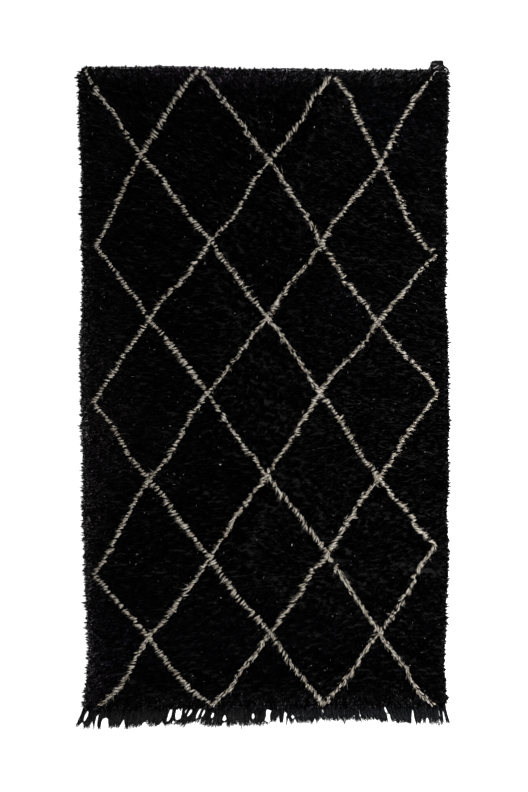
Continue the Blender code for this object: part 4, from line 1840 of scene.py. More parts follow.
    def hair_paths(self, draw: Draw) -> Array:
        """The middle lines of the hairs that stand out of the left, right and top side and curl.

        Args:
            draw: Picks the hairs.

        Returns:
            Hairs by 5 stations by 3.
        """
        share = np.linspace(0, 1, 5)
        paths = np.empty((self.hairs, 5, 3))
        for number in range(3):
            mine = np.arange(number, self.hairs, 3)
            run = draw.uniform(0.02, 0.98, (len(mine), 1))
            curl = draw.normal(0, self.hair_curl, (len(mine), 1))
            out = draw.uniform(*self.hair_lengths, (len(mine), 1)) * np.sin(share * 1.9) - 0.004
            along = run + (0.3 * curl * share + curl * share**2) / self.length(number)
            x, y = self.spots(along, out, number)
            paths[mine] = np.stack([x, y, np.broadcast_to(0.010 - 0.004 * share, x.shape)], axis=2)
        return paths

    def build(self, finish: Material) -> list[Piece]:
        """Builds the rim of all four sides, with the one long lock.

        Args:
            finish: The black wool.

        Returns:
            The closing strands, the locks and the hairs.
        """
        draw = np.random.default_rng(self.seed)
        sides = (self.left, self.right, self.top, self.bottom)
        closing, locks = (
            np.concatenate([make(side, number, draw) for number, side in enumerate(sides)])
            for make in (self.closing_strands, self.lock_paths)
        )
        near = np.exp(-(((locks[:, 3, 1] - self.spike) / self.spike_reach) ** 2)) * (locks[:, 3, 0] < 0)
        locks[:, 2:, 0] -= near[:, None] * np.array(self.spike_out)
        locks[:, 2:, 1] += near[:, None] * np.array(self.spike_draw) * (self.spike - locks[:, 2:, 1])
        pieces = []
        for name, paths, shape in (
            ("rim_pile", closing, (0.0, 1.0, 0.0)),
            ("rim_locks", locks, (0.0, 1.0, 0.85, 0.0)),
            ("rim_hairs", self.hair_paths(draw), (0.0, 0.30, 0.28, 0.24, 0.0)),
        ):
            width = self.radius * varied(draw, len(paths), STRAND_SPREAD)
            colour = self.dye.of_black(paths[:, -1, 0], paths[:, -1, 1], 1, draw)
            radii, roll = width[:, None] * np.array(shape), draw.uniform(0, TURN, len(paths))
            pieces.append(Strands(paths, radii, colour, roll=roll).build(name, finish, Slot.PILE, Node.FIELD))
        return pieces


@dataclass
class KnotBacks:
    """The backs of the ivory knots, one flat loop for each yarn end, which draw the lattice underneath.

    Attributes:
        dye: The wool's colours.
        length: Length of a loop, across the rug.
        radius: Half its width.
        flatness: Its thickness over its width.
        stray: How far its ends stray up and down the rug.
        arch: How much higher its ends are than its middle.
    """

    dye: WoolDye
    length: float = 0.0090
    radius: float = 0.0024
    flatness: float = 0.36
    stray: float = 0.0006
    arch: float = 0.0008
    seed: int = 47

    def build(self, knots: Knots, finish: Material) -> Piece:
        """Lays each loop on the floor under its yarn end.

        Args:
            knots: The ivory yarn ends.
            finish: The ivory wool.

        Returns:
            The piece.
        """
        draw = np.random.default_rng(self.seed)
        count = len(knots.x)
        paths = np.empty((count, 3, 3))
        paths[:, :, 0] = knots.x[:, None] + self.length * np.array((-0.5, 0.0, 0.5))
        paths[:, :, 1] = knots.y[:, None] + draw.normal(0, self.stray, (count, 3))
        paths[:, :, 2] = self.radius * self.flatness + self.arch * np.array((1.0, 0.0, 1.0))
        radii = np.tile(self.radius * np.array((0.0, 1.0, 0.0)), (count, 1))
        colour = self.dye.of_ivory(knots.x, knots.y, 1, draw)
        loops = Strands(paths, radii, colour, sides=4, flatness=self.flatness)
        return loops.build("knot_backs", finish, Slot.PILE, Node.FIELD)


@dataclass
class Lint:
    """Stray pale fibres on the pile.

    Attributes:
        outline: The rug's outline.
        count: How many there are.
        length: Mean length.
        radius: Half their thickness.
        rest: Height at which they lie on the pile.
        bow: How much higher their middle is.
        curl: How far they turn from end to end, in radians.
        greys: Mean and spread of their shades, as logarithms.
    """

    outline: RugOutline
    count: int = 540
    length: float = 0.0060
    radius: float = 0.0007
    rest: float = 0.0185
    bow: float = 0.002
    curl: float = 1.1
    greys: tuple[float, float] = (-1.43, 0.7)
    seed: int = 61

    def build(self, finish: Material) -> Piece:
        """Scatters the fibres: short arcs, whose middle line turns evenly from end to end.

        Args:
            finish: The wool that they are of.

        Returns:
            The piece.
        """
        draw = np.random.default_rng(self.seed)
        x, y = self.outline.spot(draw.uniform(0.02, 0.98, self.count), draw.uniform(0.01, 0.99, self.count))
        length = self.length * np.exp(draw.normal(-0.1, 0.45, self.count))
        share = np.linspace(0, 1, 5)[None]
        heading = draw.uniform(0, TURN, (self.count, 1))
        heading = heading + draw.normal(0, self.curl, (self.count, 1)) * share
        step = length[:, None] / 4
        paths = np.empty((self.count, 5, 3))
        paths[:, :, 0] = x[:, None] + np.cumsum(step * np.cos(heading), axis=1)
        paths[:, :, 1] = y[:, None] + np.cumsum(step * np.sin(heading), axis=1)
        paths[:, :, 2] = self.rest + self.bow * np.sin(np.pi * share)
        paths[:, :, 2] += draw.uniform(-0.001, 0.001, (self.count, 1))
        thick = self.radius * np.exp(draw.normal(0, 0.3, (self.count, 1)))
        grey = np.exp(draw.normal(*self.greys, self.count)).clip(0.05, 0.8)
        dye = grey[:, None] * np.array((1.0, 0.95, 0.9))
        radii = thick * np.array((0.6, 1.0, 1.0, 0.8, 0.0))
        return Strands(paths, radii, dye).build("pile_lint", finish, Slot.PILE)


class FringeSlit(NamedTuple):
    """An opening between locks of the fringe, in metres.

    The fields are its middle's x at its upper end, its upper and lower ends' y, its width halfway,
    how far its lower end is to the right of its upper one, and its width at the upper and at the
    lower end as shares of that halfway.
    """

    x: float
    top: float
    bottom: float
    width: float
    slant: float
    upper: float
    lower: float


@dataclass(frozen=True)
class FringeMake:
    """How one sort of the fringe's strands is made.

    Attributes:
        name: The piece's name.
        count: Strands to a lock.
        stations: Stations on a strand.
        sides: Its sides.
        radius: Half its width, in metres.
        taper: Its width share at the root, at 0.3 and at 0.75 of its length, and at the tip.
        height: Height of its root.
        pull: How much its lock draws it together.
        wave: How far it waves, in metres.
        lean: How far its tip strays sideways.
        ragged: How far its tip strays up and down.
        start: Where strands start, as shares of the fringe's length.
        end: Where they end.
        flatness: Thickness over width.
        pointed: Whether both ends are points.
        lighter: How much lighter than the warp's dye it is, as a logarithm.
        differ: How much the strands' shades differ, as a logarithm.
    """

    name: str
    count: int
    stations: int
    sides: int
    radius: float
    taper: tuple[float, float, float, float]
    height: float
    pull: float
    wave: float
    lean: float
    ragged: float
    start: tuple[float, float] = (0.0, 0.0)
    end: tuple[float, float] = (0.97, 1.0)
    flatness: float = 1.0
    pointed: bool = True
    lighter: float = 0.0
    differ: float = 0.6


@dataclass
class WarpFringe:
    """The loose ends of the warp at the bottom end, matted into locks.

    Attributes:
        outline: The rug's outline.
        tips: y of the tips across the rug.
        sweep: How far a tip is to the right of its root.
        slits: The openings between locks.
        makes: The sorts of strand: the matted warp, single yarns over it and frayed ends.
        locks: How many locks there are.
        felted: How many short fibres are felted over the locks.
        felt_length: Their mean length.
        felt_radius: Half their thickness.
        radius: How far inside a slit's rim strands keep their middle line.
        slit_reach: How far past a slit's rim strands are moved aside.
        slit_ease: Over how much of its length a slit's end opens.
        inset: How far inside the field's corners the fringe ends.
        tuck: How far its roots are under the pile.
        felt_tuck: The same for the felted fibres.
        felt_height: Their height at the roots.
        felt_fall: How much lower they are at the tips.
        lock_ragged: How far a lock's tips stray up and down.
        left_pull: How much more locks draw together at the left end.
        left_from: x left of which they do.
        right_pull: How much more they do at the right end.
        right_from: x right of which they do.
        dye: The linear colour of the warp at the left.
        right_dye: The same at the right.
    """

    outline: RugOutline
    tips: tuple[Station, ...] = table(
        Station,  # along, at
        (-0.739, -1.323), (-0.711, -1.334), (-0.647, -1.334), (-0.611, -1.331), (-0.515, -1.333),
        (-0.487, -1.325), (-0.463, -1.315), (-0.427, -1.328), (-0.403, -1.314), (-0.379, -1.325),
        (-0.351, -1.315), (-0.319, -1.325), (-0.295, -1.313), (-0.263, -1.307), (-0.231, -1.327),
        (-0.175, -1.327), (-0.159, -1.319), (-0.119, -1.329), (-0.099, -1.319), (-0.083, -1.329),
        (-0.047, -1.321), (0.001, -1.323), (0.025, -1.315), (0.053, -1.305), (0.085, -1.313),
        (0.205, -1.312), (0.249, -1.301), (0.285, -1.297), (0.333, -1.309), (0.357, -1.299),
        (0.381, -1.308), (0.441, -1.297), (0.489, -1.309), (0.581, -1.311), (0.625, -1.315),
        (0.673, -1.309), (0.705, -1.318), (0.745, -1.315),
    )
    sweep: tuple[Station, ...] = table(
        Station,  # along, at
        (-0.719, -0.034), (-0.695, -0.024), (-0.599, -0.014), (-0.359, -0.030), (-0.259, -0.036),
        (-0.179, -0.008), (0.001, 0.002), (0.301, 0.005), (0.501, 0.026), (0.621, 0.008), (0.700, 0.010),
        (0.736, 0.020),
    )
    slits: tuple[FringeSlit, ...] = table(
        FringeSlit,  # x, top, bottom, width, slant, upper, lower
        (-0.690, -1.266, -1.309, 0.013, -0.021, 0.3, 0.4),
        (-0.721, -1.311, -1.345, 0.010, 0.000, 0.2, 1.4),
        (-0.677, -1.307, -1.345, 0.012, -0.002, 0.3, 1.5),
        (-0.657, -1.281, -1.345, 0.011, -0.006, 0.4, 1.0),
        (-0.627, -1.293, -1.345, 0.027, 0.000, 0.75, 1.0),
        (-0.551, -1.299, -1.345, 0.014, -0.010, 0.15, 1.6),
        (-0.469, -1.309, -1.345, 0.018, 0.000, 0.5, 1.2),
        (-0.401, -1.309, -1.345, 0.012, 0.000, 0.3, 1.3),
        (-0.355, -1.255, -1.311, 0.015, -0.020, 0.9, 0.5),
        (-0.353, -1.305, -1.315, 0.009, 0.000, 0.7, 0.7),
        (-0.329, -1.254, -1.303, 0.026, -0.003, 0.9, 0.5),
        (-0.297, -1.257, -1.279, 0.011, -0.007, 0.7, 0.5),
        (-0.273, -1.253, -1.291, 0.014, -0.024, 0.5, 0.6),
        (-0.241, -1.255, -1.299, 0.013, -0.020, 0.7, 0.5),
        (-0.225, -1.259, -1.291, 0.009, -0.012, 0.6, 0.6),
        (-0.191, -1.271, -1.297, 0.012, -0.009, 0.4, 0.7),
        (-0.147, -1.279, -1.306, 0.013, 0.000, 0.15, 1.5),
        (-0.149, -1.312, -1.345, 0.014, 0.000, 1.0, 1.6),
        (-0.034, -1.275, -1.299, 0.011, 0.001, 0.7, 0.9),
        (0.033, -1.260, -1.309, 0.014, -0.013, 1.7, 1.5),
        (0.069, -1.285, -1.345, 0.009, -0.010, 0.2, 2.0),
        (0.099, -1.271, -1.345, 0.011, -0.010, 0.7, 1.0),
        (0.109, -1.287, -1.345, 0.007, -0.002, 0.5, 1.2), (0.126, -1.283, -1.297, 0.012, 0.000, 0.8, 0.7),
        (0.133, -1.299, -1.345, 0.005, 0.000, 0.8, 1.0), (0.213, -1.295, -1.345, 0.010, 0.000, 0.2, 1.6),
        (0.239, -1.289, -1.345, 0.010, 0.004, 0.2, 1.6), (0.239, -1.260, -1.275, 0.003, 0.009, 0.8, 0.5),
        (0.369, -1.284, -1.290, 0.004, 0.000, 0.8, 0.6), (0.393, -1.280, -1.287, 0.004, 0.000, 0.8, 0.6),
        (0.491, -1.247, -1.279, 0.0065, 0.016, 0.8, 1.0),
        (0.511, -1.275, -1.345, 0.0105, 0.004, 0.7, 1.2), (0.605, -1.259, -1.345, 0.012, 0.004, 0.4, 1.0),
        (0.643, -1.295, -1.345, 0.006, 0.000, 0.4, 1.3), (0.663, -1.291, -1.345, 0.010, 0.000, 0.3, 1.3),
        (0.709, -1.262, -1.290, 0.003, 0.006, 0.6, 0.8), (0.725, -1.266, -1.345, 0.005, 0.014, 0.4, 1.3),
    )
    makes: tuple[FringeMake, ...] = (
        FringeMake(
            "warp_mat", 5, 14, 3, 0.0042, (1.0, 1.0, 1.0, 0.6), 0.0030,
            pull=0.10, wave=0.0010, lean=0.0012, ragged=0.0034, end=(0.86, 1.01),
            flatness=0.5, lighter=-0.1, differ=0.35,
        ),
        FringeMake(
            "warp_yarns", 5, 10, 3, 0.0013, (1.0, 1.0, 0.9, 0.5), 0.0052,
            pull=0.15, wave=0.0030, lean=0.0070, ragged=0.0040, end=(0.95, 1.08), lighter=0.10,
        ),
        FringeMake(
            "fringe_wisps", 14, 4, 3, 0.0008, (0.5, 1.0, 0.9, 0.5), 0.0036,
            pull=0.1, wave=0.0010, lean=0.0140, ragged=0.0032, start=(0.50, 0.9), end=(0.98, 1.15),
            lighter=0.1,
        ),
    )
    locks: int = 104
    felted: int = 3000
    felt_length: float = 0.010
    felt_radius: float = 0.0011
    radius: float = 0.0018
    slit_reach: float = 0.014
    slit_ease: float = 0.005
    inset: float = 0.001
    tuck: float = 0.008
    felt_tuck: float = 0.010
    felt_height: float = 0.0068
    felt_fall: float = 0.0022
    lock_ragged: float = 0.0030
    left_pull: float = 0.35
    left_from: float = -0.58
    right_pull: float = 0.2
    right_from: float = 0.68
    dye: tuple[float, float, float] = (0.0118, 0.0112, 0.0118)
    right_dye: tuple[float, float, float] = (0.0104, 0.0110, 0.0128)
    seed: int = 71

    def parted(self, x: Array, y: Array) -> Array:
        """Moves strands aside so that the slits stay open.

        Within reach of a slit's middle line, a place at distance d goes to half the slit's width
        plus what is left of the reach in proportion, with an eased start and end to the slit. A
        strand goes wholly to the side that its middle is on.

        Args:
            x: Places across, as strands by stations.
            y: Places up.

        Returns:
            The new places across.
        """
        for slit in self.slits:
            down = (slit.top - y) / (slit.top - slit.bottom)
            middle = slit.x + slit.slant * np.clip(down, 0.0, 1.3)
            shape = np.interp(down, (0.0, 0.5, 1.0), (slit.upper, 1.0, slit.lower))
            half = slit.width / 2 * shape + self.radius
            reach = half + self.slit_reach
            off = x - middle
            nearest = np.argmin(np.abs(y - (slit.top + slit.bottom) / 2), axis=1)[:, None]
            side = np.where(np.take_along_axis(off, nearest, axis=1) < 0, -1.0, 1.0)
            shown = eased((slit.top + 0.002 - y) / self.slit_ease)
            shown = shown * eased((y - slit.bottom + 0.002) / self.slit_ease)
            away = np.maximum(side * off, 0.0)
            opened = middle + side * (half + away * (reach - half) / reach)
            x = np.where(away < reach, x + shown * (opened - x), x)
        return x

    def ends_across(self) -> tuple[float, float]:
        """x of the fringe's left and right end at its root."""
        corner = np.array(self.outline.bottom[0].at)
        west, east = profile(self.outline.left, corner), profile(self.outline.right, corner)
        return float(west) + self.inset, float(east) - self.inset

    def paths(self, make: FringeMake, draw: Draw) -> Array:
        """The middle lines of one sort of strand.

        A strand's x is its root plus the sweep times t to the power 1.4, plus its lock's pull
        towards the lock's middle, plus a lean and a wave of its own. Its y goes evenly from root
        to tip, and its height falls from the strip to the floor. The tips' line wanders.

        Args:
            make: How the strands are made.
            draw: Picks what differs.

        Returns:
            Strands by stations by 3.
        """
        total = self.locks * make.count
        lock = np.arange(total) // make.count
        own = (np.arange(total) + 0.5) / total + draw.normal(0, 0.06, total) / self.locks
        west, east = self.ends_across()
        root_x = west + (east - west) * own.clip(0, 1)
        lock_x = west + (east - west) * (lock + 0.5) / self.locks
        root_y = profile(self.outline.bottom, root_x) + self.tuck
        sweep = profile(self.sweep, root_x)
        lock_tip = draw.normal(0, self.lock_ragged, self.locks)[lock]
        end_y = profile(self.tips, root_x + sweep) + lock_tip + draw.normal(0, make.ragged, total)
        start = draw.uniform(*make.start, total)
        end = draw.uniform(*make.end, total)
        t = start[:, None] + (end - start)[:, None] * np.linspace(0, 1, make.stations)[None]
        pull = make.pull + self.left_pull * eased((self.left_from - root_x) / 0.04)
        pull = pull + self.right_pull * eased((root_x - self.right_from) / 0.03)
        x = root_x[:, None] + sweep[:, None] * t**1.4
        x += (pull * (lock_x - root_x))[:, None] * t
        x += draw.normal(0, make.lean, total)[:, None] * (t - start[:, None])
        turns = TURN * (t * draw.uniform(0.5, 1.8, total)[:, None] + draw.random(total)[:, None])
        x += make.wave * np.sin(turns) * t
        y = root_y[:, None] + (end_y - root_y)[:, None] * t
        x = self.parted(x, y)
        height = make.height * (1 - 0.5 * t) + draw.uniform(-0.0006, 0.0012, total)[:, None]
        return np.stack([x, y, np.maximum(height, 1.3 * make.radius * make.flatness + 0.0003)], axis=2)

    def felt_paths(self, draw: Draw) -> Array:
        """The middle lines of the short fibres that are felted over the locks.

        Each starts at a seeded place on the fringe, heads downwards with a wide spread, and turns
        on its way. One that would reach past the tips' line is moved up, and all keep out of the
        slits.

        Args:
            draw: Picks the fibres.

        Returns:
            Fibres by 3 stations by 3.
        """
        count = self.felted
        west, east = self.ends_across()
        x = west + (east - west) * draw.uniform(0, 1, count)
        top = profile(self.outline.bottom, x) + self.felt_tuck
        down = draw.uniform(0, 0.95, count)
        y = top + (profile(self.tips, x) - top) * down
        x += profile(self.sweep, x) * down**1.4
        heading = -math.pi / 2 + draw.normal(0, 1.0, count)
        turned = heading + draw.normal(0, 0.8, count)
        half = self.felt_length * np.exp(draw.normal(-0.1, 0.35, count)) / 2
        paths = np.empty((count, 3, 3))
        for axis, (middle, wave) in enumerate(((x, np.cos), (y, np.sin))):
            steps = np.stack([-half * wave(heading), 0 * half, half * wave(turned)], axis=1)
            paths[:, :, axis] = middle[:, None] + steps
        past = profile(self.tips, paths[:, :, 0]) - draw.uniform(-0.001, 0.006, (count, 1)) - paths[:, :, 1]
        paths[:, :, 1] += np.maximum(past.max(axis=1), 0.0)[:, None]
        paths[:, :, 0] = self.parted(paths[:, :, 0], paths[:, :, 1])
        paths[:, :, 2] = self.felt_height - self.felt_fall * down[:, None]
        paths[:, :, 2] += draw.uniform(-0.0008, 0.0010, (count, 3))
        return paths

    def build(self, finish: Material) -> list[Piece]:
        """Builds every sort of strand.

        Args:
            finish: The warp yarn.

        Returns:
            The pieces.
        """
        draw = np.random.default_rng(self.seed)
        sorts = [(self.paths(make, draw), make) for make in self.makes]
        felt = FringeMake(
            "fringe_felt", 1, 3, 3, self.felt_radius, (0.0, 1.0, 1.0, 0.0), self.felt_height,
            pull=0.0, wave=0.0, lean=0.0, ragged=0.0, lighter=0.1, differ=0.85,
        )
        sorts.append((self.felt_paths(draw), felt))
        pieces = []
        for paths, make in sorts:
            shape = np.interp(np.linspace(0, 1, make.stations), (0, 0.3, 0.75, 1.0), make.taper)
            radii = (make.radius * varied(draw, len(paths), STRAND_SPREAD))[:, None] * shape
            to_right = eased((paths[:, 0, 0] + 0.2) / 0.5)[:, None]
            dye = np.array(self.dye) + to_right * (np.array(self.right_dye) - np.array(self.dye))
            dye = dye * np.exp(draw.normal(make.lighter, make.differ, len(paths)))[:, None]
            roll = draw.uniform(0, TURN, len(paths)) if make.flatness == 1.0 else 0.0
            strands = Strands(paths, radii, dye, make.sides, make.pointed, make.flatness, roll)
            pieces.append(strands.build(make.name, finish, Slot.WARP, Node.FRINGE))
        return pieces


class Bend(NamedTuple):
    """One point of a thread's middle line, in metres."""

    x: float
    y: float
    z: float


def smooth_path(bends: tuple[Bend, ...], stations: int) -> Array:
    """A smooth line through bends, by a Catmull-Rom curve over their numbers.

    Args:
        bends: The points that it goes through.
        stations: How many points it is given.

    Returns:
        Stations by 3.
    """
    points = np.array(bends)
    padded = np.concatenate([2 * points[:1] - points[1:2], points, 2 * points[-1:] - points[-2:-1]])
    t = np.linspace(0, len(points) - 1, stations)
    k = np.minimum(t.astype(int), len(points) - 2)
    s = (t - k)[:, None]
    p0, p1, p2, p3 = (padded[k + i] for i in range(4))
    squared, cubed = 2 * p0 - 5 * p1 + 4 * p2 - p3, 3 * p1 - p0 - 3 * p2 + p3
    return 0.5 * (2 * p1 + (p2 - p0) * s + squared * s**2 + cubed * s**3)


@dataclass
class CornerTuft:
    """The warp ends that are knotted together at the top right corner.

    Attributes:
        left: The knotted bunch's left side, as y and x.
        right: Its right side, as y and x.
        low: Its lower side.
        high: Its upper side.
        loops: How many turns of yarn are in it.
        ends: How many cut ends stand out of it.
        curls: The middle lines of the end that curls round to the right and of two at the top.
        curl_radius: Half those ends' width.
        threads: The middle lines of the pale threads over it.
        thread_radii: Half each thread's width.
        thread_greys: Each thread's shade.
        thread_tint: Their colour.
        knot_radii: The least and most of half the turns' width.
        end_radii: The same for the cut ends.
        end_lengths: The least and most that a cut end is long.
        end_heights: The least and most that its root is high.
        knot_span: x of the leftmost and rightmost turn's middle.
        knot_longs: The least and most that a turn's longer half is long.
        knot_shorts: The same for its shorter half.
        end_span: x of the leftmost and rightmost cut end's root.
        knot_low: The least height of the turns' middle lines.
        dip: How far a turn dips and rises.
        dye: The dark yarn's linear colour.
        differ: How much the yarns' shades differ, as a logarithm.
    """

    left: tuple[Station, ...] = table(
        Station,  # along, at
        (1.286, 0.664), (1.303, 0.667), (1.317, 0.677), (1.333, 0.679),
    )
    right: tuple[Station, ...] = table(
        Station,  # along, at
        (1.287, 0.742), (1.290, 0.732), (1.303, 0.732), (1.306, 0.737), (1.313, 0.732), (1.318, 0.727),
        (1.333, 0.727),
    )
    low: float = 1.288
    high: float = 1.3325
    loops: int = 74
    ends: int = 60
    curls: tuple[tuple[Bend, ...], ...] = (
        # x, y, z
        table(
            Bend,
            (0.7060, 1.3120, 0.0050), (0.7170, 1.3125, 0.0060), (0.7270, 1.3105, 0.0060),
            (0.7355, 1.3065, 0.0058), (0.7415, 1.3015, 0.0056), (0.7452, 1.2950, 0.0056),
            (0.7457, 1.2870, 0.0056), (0.7440, 1.2780, 0.0080),
        ),
        table(
            Bend,
            (0.6830, 1.3290, 0.0070), (0.6950, 1.3312, 0.0070), (0.7060, 1.3302, 0.0068),
            (0.7150, 1.3312, 0.0066), (0.7215, 1.3302, 0.0064), (0.7232, 1.3230, 0.0064),
            (0.7225, 1.3160, 0.0062), (0.7180, 1.3090, 0.0060),
        ),
        table(
            Bend,
            (0.6860, 1.3190, 0.0060), (0.6920, 1.3235, 0.0060), (0.6985, 1.3255, 0.0060),
            (0.7050, 1.3250, 0.0060), (0.7110, 1.3258, 0.0060), (0.7165, 1.3245, 0.0060),
            (0.7170, 1.3190, 0.0060), (0.7130, 1.3150, 0.0060),
        ),
    )
    curl_radius: float = 0.0038
    threads: tuple[tuple[Bend, ...], ...] = (
        # x, y, z
        table(
            Bend,
            (0.683, 1.298, 0.010), (0.690, 1.304, 0.0110), (0.698, 1.308, 0.0110), (0.709, 1.315, 0.0100),
        ),
        table(
            Bend,
            (0.686, 1.272, 0.0205), (0.688, 1.281, 0.0215), (0.696, 1.288, 0.0210),
            (0.706, 1.290, 0.0140),
        ),
        table(
            Bend,
            (0.700, 1.306, 0.0100), (0.708, 1.303, 0.0100), (0.716, 1.308, 0.0095),
            (0.722, 1.316, 0.0085),
        ),
        table(
            Bend,
            (0.681, 1.323, 0.0085), (0.686, 1.319, 0.0090), (0.692, 1.321, 0.0090),
            (0.698, 1.318, 0.0090),
        ),
        table(
            Bend,
            (0.713, 1.288, 0.0120), (0.724, 1.289, 0.0130), (0.735, 1.287, 0.0125),
            (0.746, 1.288, 0.0100),
        ),
    )
    thread_radii: tuple[float, ...] = (0.0011, 0.0012, 0.0008, 0.0010, 0.0009)
    thread_greys: tuple[float, ...] = (0.42, 0.34, 0.10, 0.16, 0.10)
    thread_tint: tuple[float, float, float] = (1.0, 0.96, 0.92)
    knot_radii: tuple[float, float] = (0.0015, 0.0022)
    end_radii: tuple[float, float] = (0.0009, 0.0015)
    end_lengths: tuple[float, float] = (0.010, 0.024)
    end_heights: tuple[float, float] = (0.004, 0.0095)
    knot_span: tuple[float, float] = (0.670, 0.738)
    knot_longs: tuple[float, float] = (0.008, 0.015)
    knot_shorts: tuple[float, float] = (0.003, 0.008)
    end_span: tuple[float, float] = (0.676, 0.722)
    knot_low: float = 0.0024
    dip: float = 0.0018
    dye: tuple[float, float, float] = (0.0072, 0.0066, 0.0078)
    differ: float = 0.7
    seed: int = 83

    def held(self, x: Array, y: Array, margin: float) -> tuple[Array, Array]:
        """Holds places within the bunch, this far inside its sides."""
        y = y.clip(self.low, self.high - margin)
        return np.clip(x, profile(self.left, y) + margin, profile(self.right, y) - margin), y

    def knot_paths(self, draw: Draw) -> Array:
        """Turns of yarn that wind through the bunch.

        Each is part of an ellipse, middle + a cos f along + b sin f across, that is turned by its
        own heading and dips and rises once over its length.

        Args:
            draw: Picks the turns.

        Returns:
            Turns by stations by 3.
        """
        count, stations = self.loops, 10
        share = np.linspace(0, 1, stations)[None]
        middle_x = draw.uniform(*self.knot_span, (count, 1))
        middle_y = draw.uniform(self.low + 0.004, self.high - 0.006, (count, 1))
        long, short = (draw.uniform(*span, (count, 1)) for span in (self.knot_longs, self.knot_shorts))
        f = draw.uniform(0, TURN, (count, 1)) + draw.uniform(2.2, 4.2, (count, 1)) * share
        heading = draw.normal(1.3, 0.9, (count, 1))
        u, v = long * np.cos(f), short * np.sin(f)
        x, y = self.held(
            middle_x + u * np.cos(heading) - v * np.sin(heading),
            middle_y + u * np.sin(heading) + v * np.cos(heading),
            0.0018,
        )
        z = draw.uniform(self.knot_low, 0.0075, (count, 1))
        z = z + self.dip * np.sin(TURN * share + draw.uniform(0, TURN, (count, 1)))
        return np.stack([x, y, np.maximum(z, self.knot_low)], axis=2)

    def end_paths(self, draw: Draw) -> Array:
        """Cut ends that stand out of the bunch, from its middle to its rim with a slight bow.

        Args:
            draw: Picks the ends.

        Returns:
            Ends by stations by 3.
        """
        count, stations = self.ends, 6
        share = np.linspace(0, 1, stations)[None]
        fan = draw.uniform(-1.1, 1.4, (count, 1)) + math.pi / 2
        length = draw.uniform(*self.end_lengths, (count, 1))
        start_x = draw.uniform(*self.end_span, (count, 1))
        start_y = draw.uniform(self.low + 0.004, self.high - 0.010, (count, 1))
        bow = draw.normal(0, 0.5, (count, 1)) * share
        x = start_x + length * share * np.cos(fan + bow)
        y = start_y + length * share * np.sin(fan + bow)
        x, y = self.held(x, y, -0.0022)
        z = draw.uniform(*self.end_heights, (count, 1)) - 0.002 * share
        return np.stack([x, y, z], axis=2)

    def build(self, finish: Material) -> list[Piece]:
        """Builds the bunch, its cut ends, the curled ends and the pale threads.

        Args:
            finish: The corner's yarn.

        Returns:
            The pieces.
        """
        draw = np.random.default_rng(self.seed)
        dark = np.array(self.dye)

        def shades(count: int, lighter: float) -> Array:
            """A dark shade for each yarn."""
            return dark * np.exp(draw.normal(lighter, self.differ, count))[:, None]

        def widths(radii: Array, paths: Array, root: float, tip: float) -> Array:
            """Half the width at each station, for yarns that keep these shares at their ends."""
            place = np.linspace(0, 1, paths.shape[1])
            return radii[:, None] * np.interp(place, (0, 0.15, 0.85, 1), (root, 1, 1, tip))

        turns, tails = self.knot_paths(draw), self.end_paths(draw)
        loops = np.stack([smooth_path(bends, 26) for bends in self.curls])
        pale = np.stack([smooth_path(bends, 12) for bends in self.threads])
        grey = np.array(self.thread_greys)[:, None] * np.array(self.thread_tint)
        knot_width = widths(draw.uniform(*self.knot_radii, len(turns)), turns, 0.4, 0.4)
        knot = Strands(turns, knot_width, shades(len(turns), 0.0), sides=5, pointed=False)
        end_width = widths(draw.uniform(*self.end_radii, len(tails)), tails, 1.0, 0.0)
        tail = Strands(tails, end_width, shades(len(tails), 0.1), sides=4)
        curl_width = widths(np.full(len(loops), self.curl_radius), loops, 0.6, 0.5)
        curl = Strands(loops, curl_width, shades(len(loops), 0.1), sides=10, pointed=False)
        thread_width = widths(np.array(self.thread_radii), pale, 0.5, 0.3)
        thread = Strands(pale, thread_width, grey, sides=6, pointed=False)
        made = {"corner_knot": knot, "corner_ends": tail, "corner_loop": curl, "corner_threads": thread}
        return [strands.build(name, finish, Slot.CORNER, Node.CORNER) for name, strands in made.items()]


# ---------------------------------------------------------------------------------------------
# Studio
# ---------------------------------------------------------------------------------------------


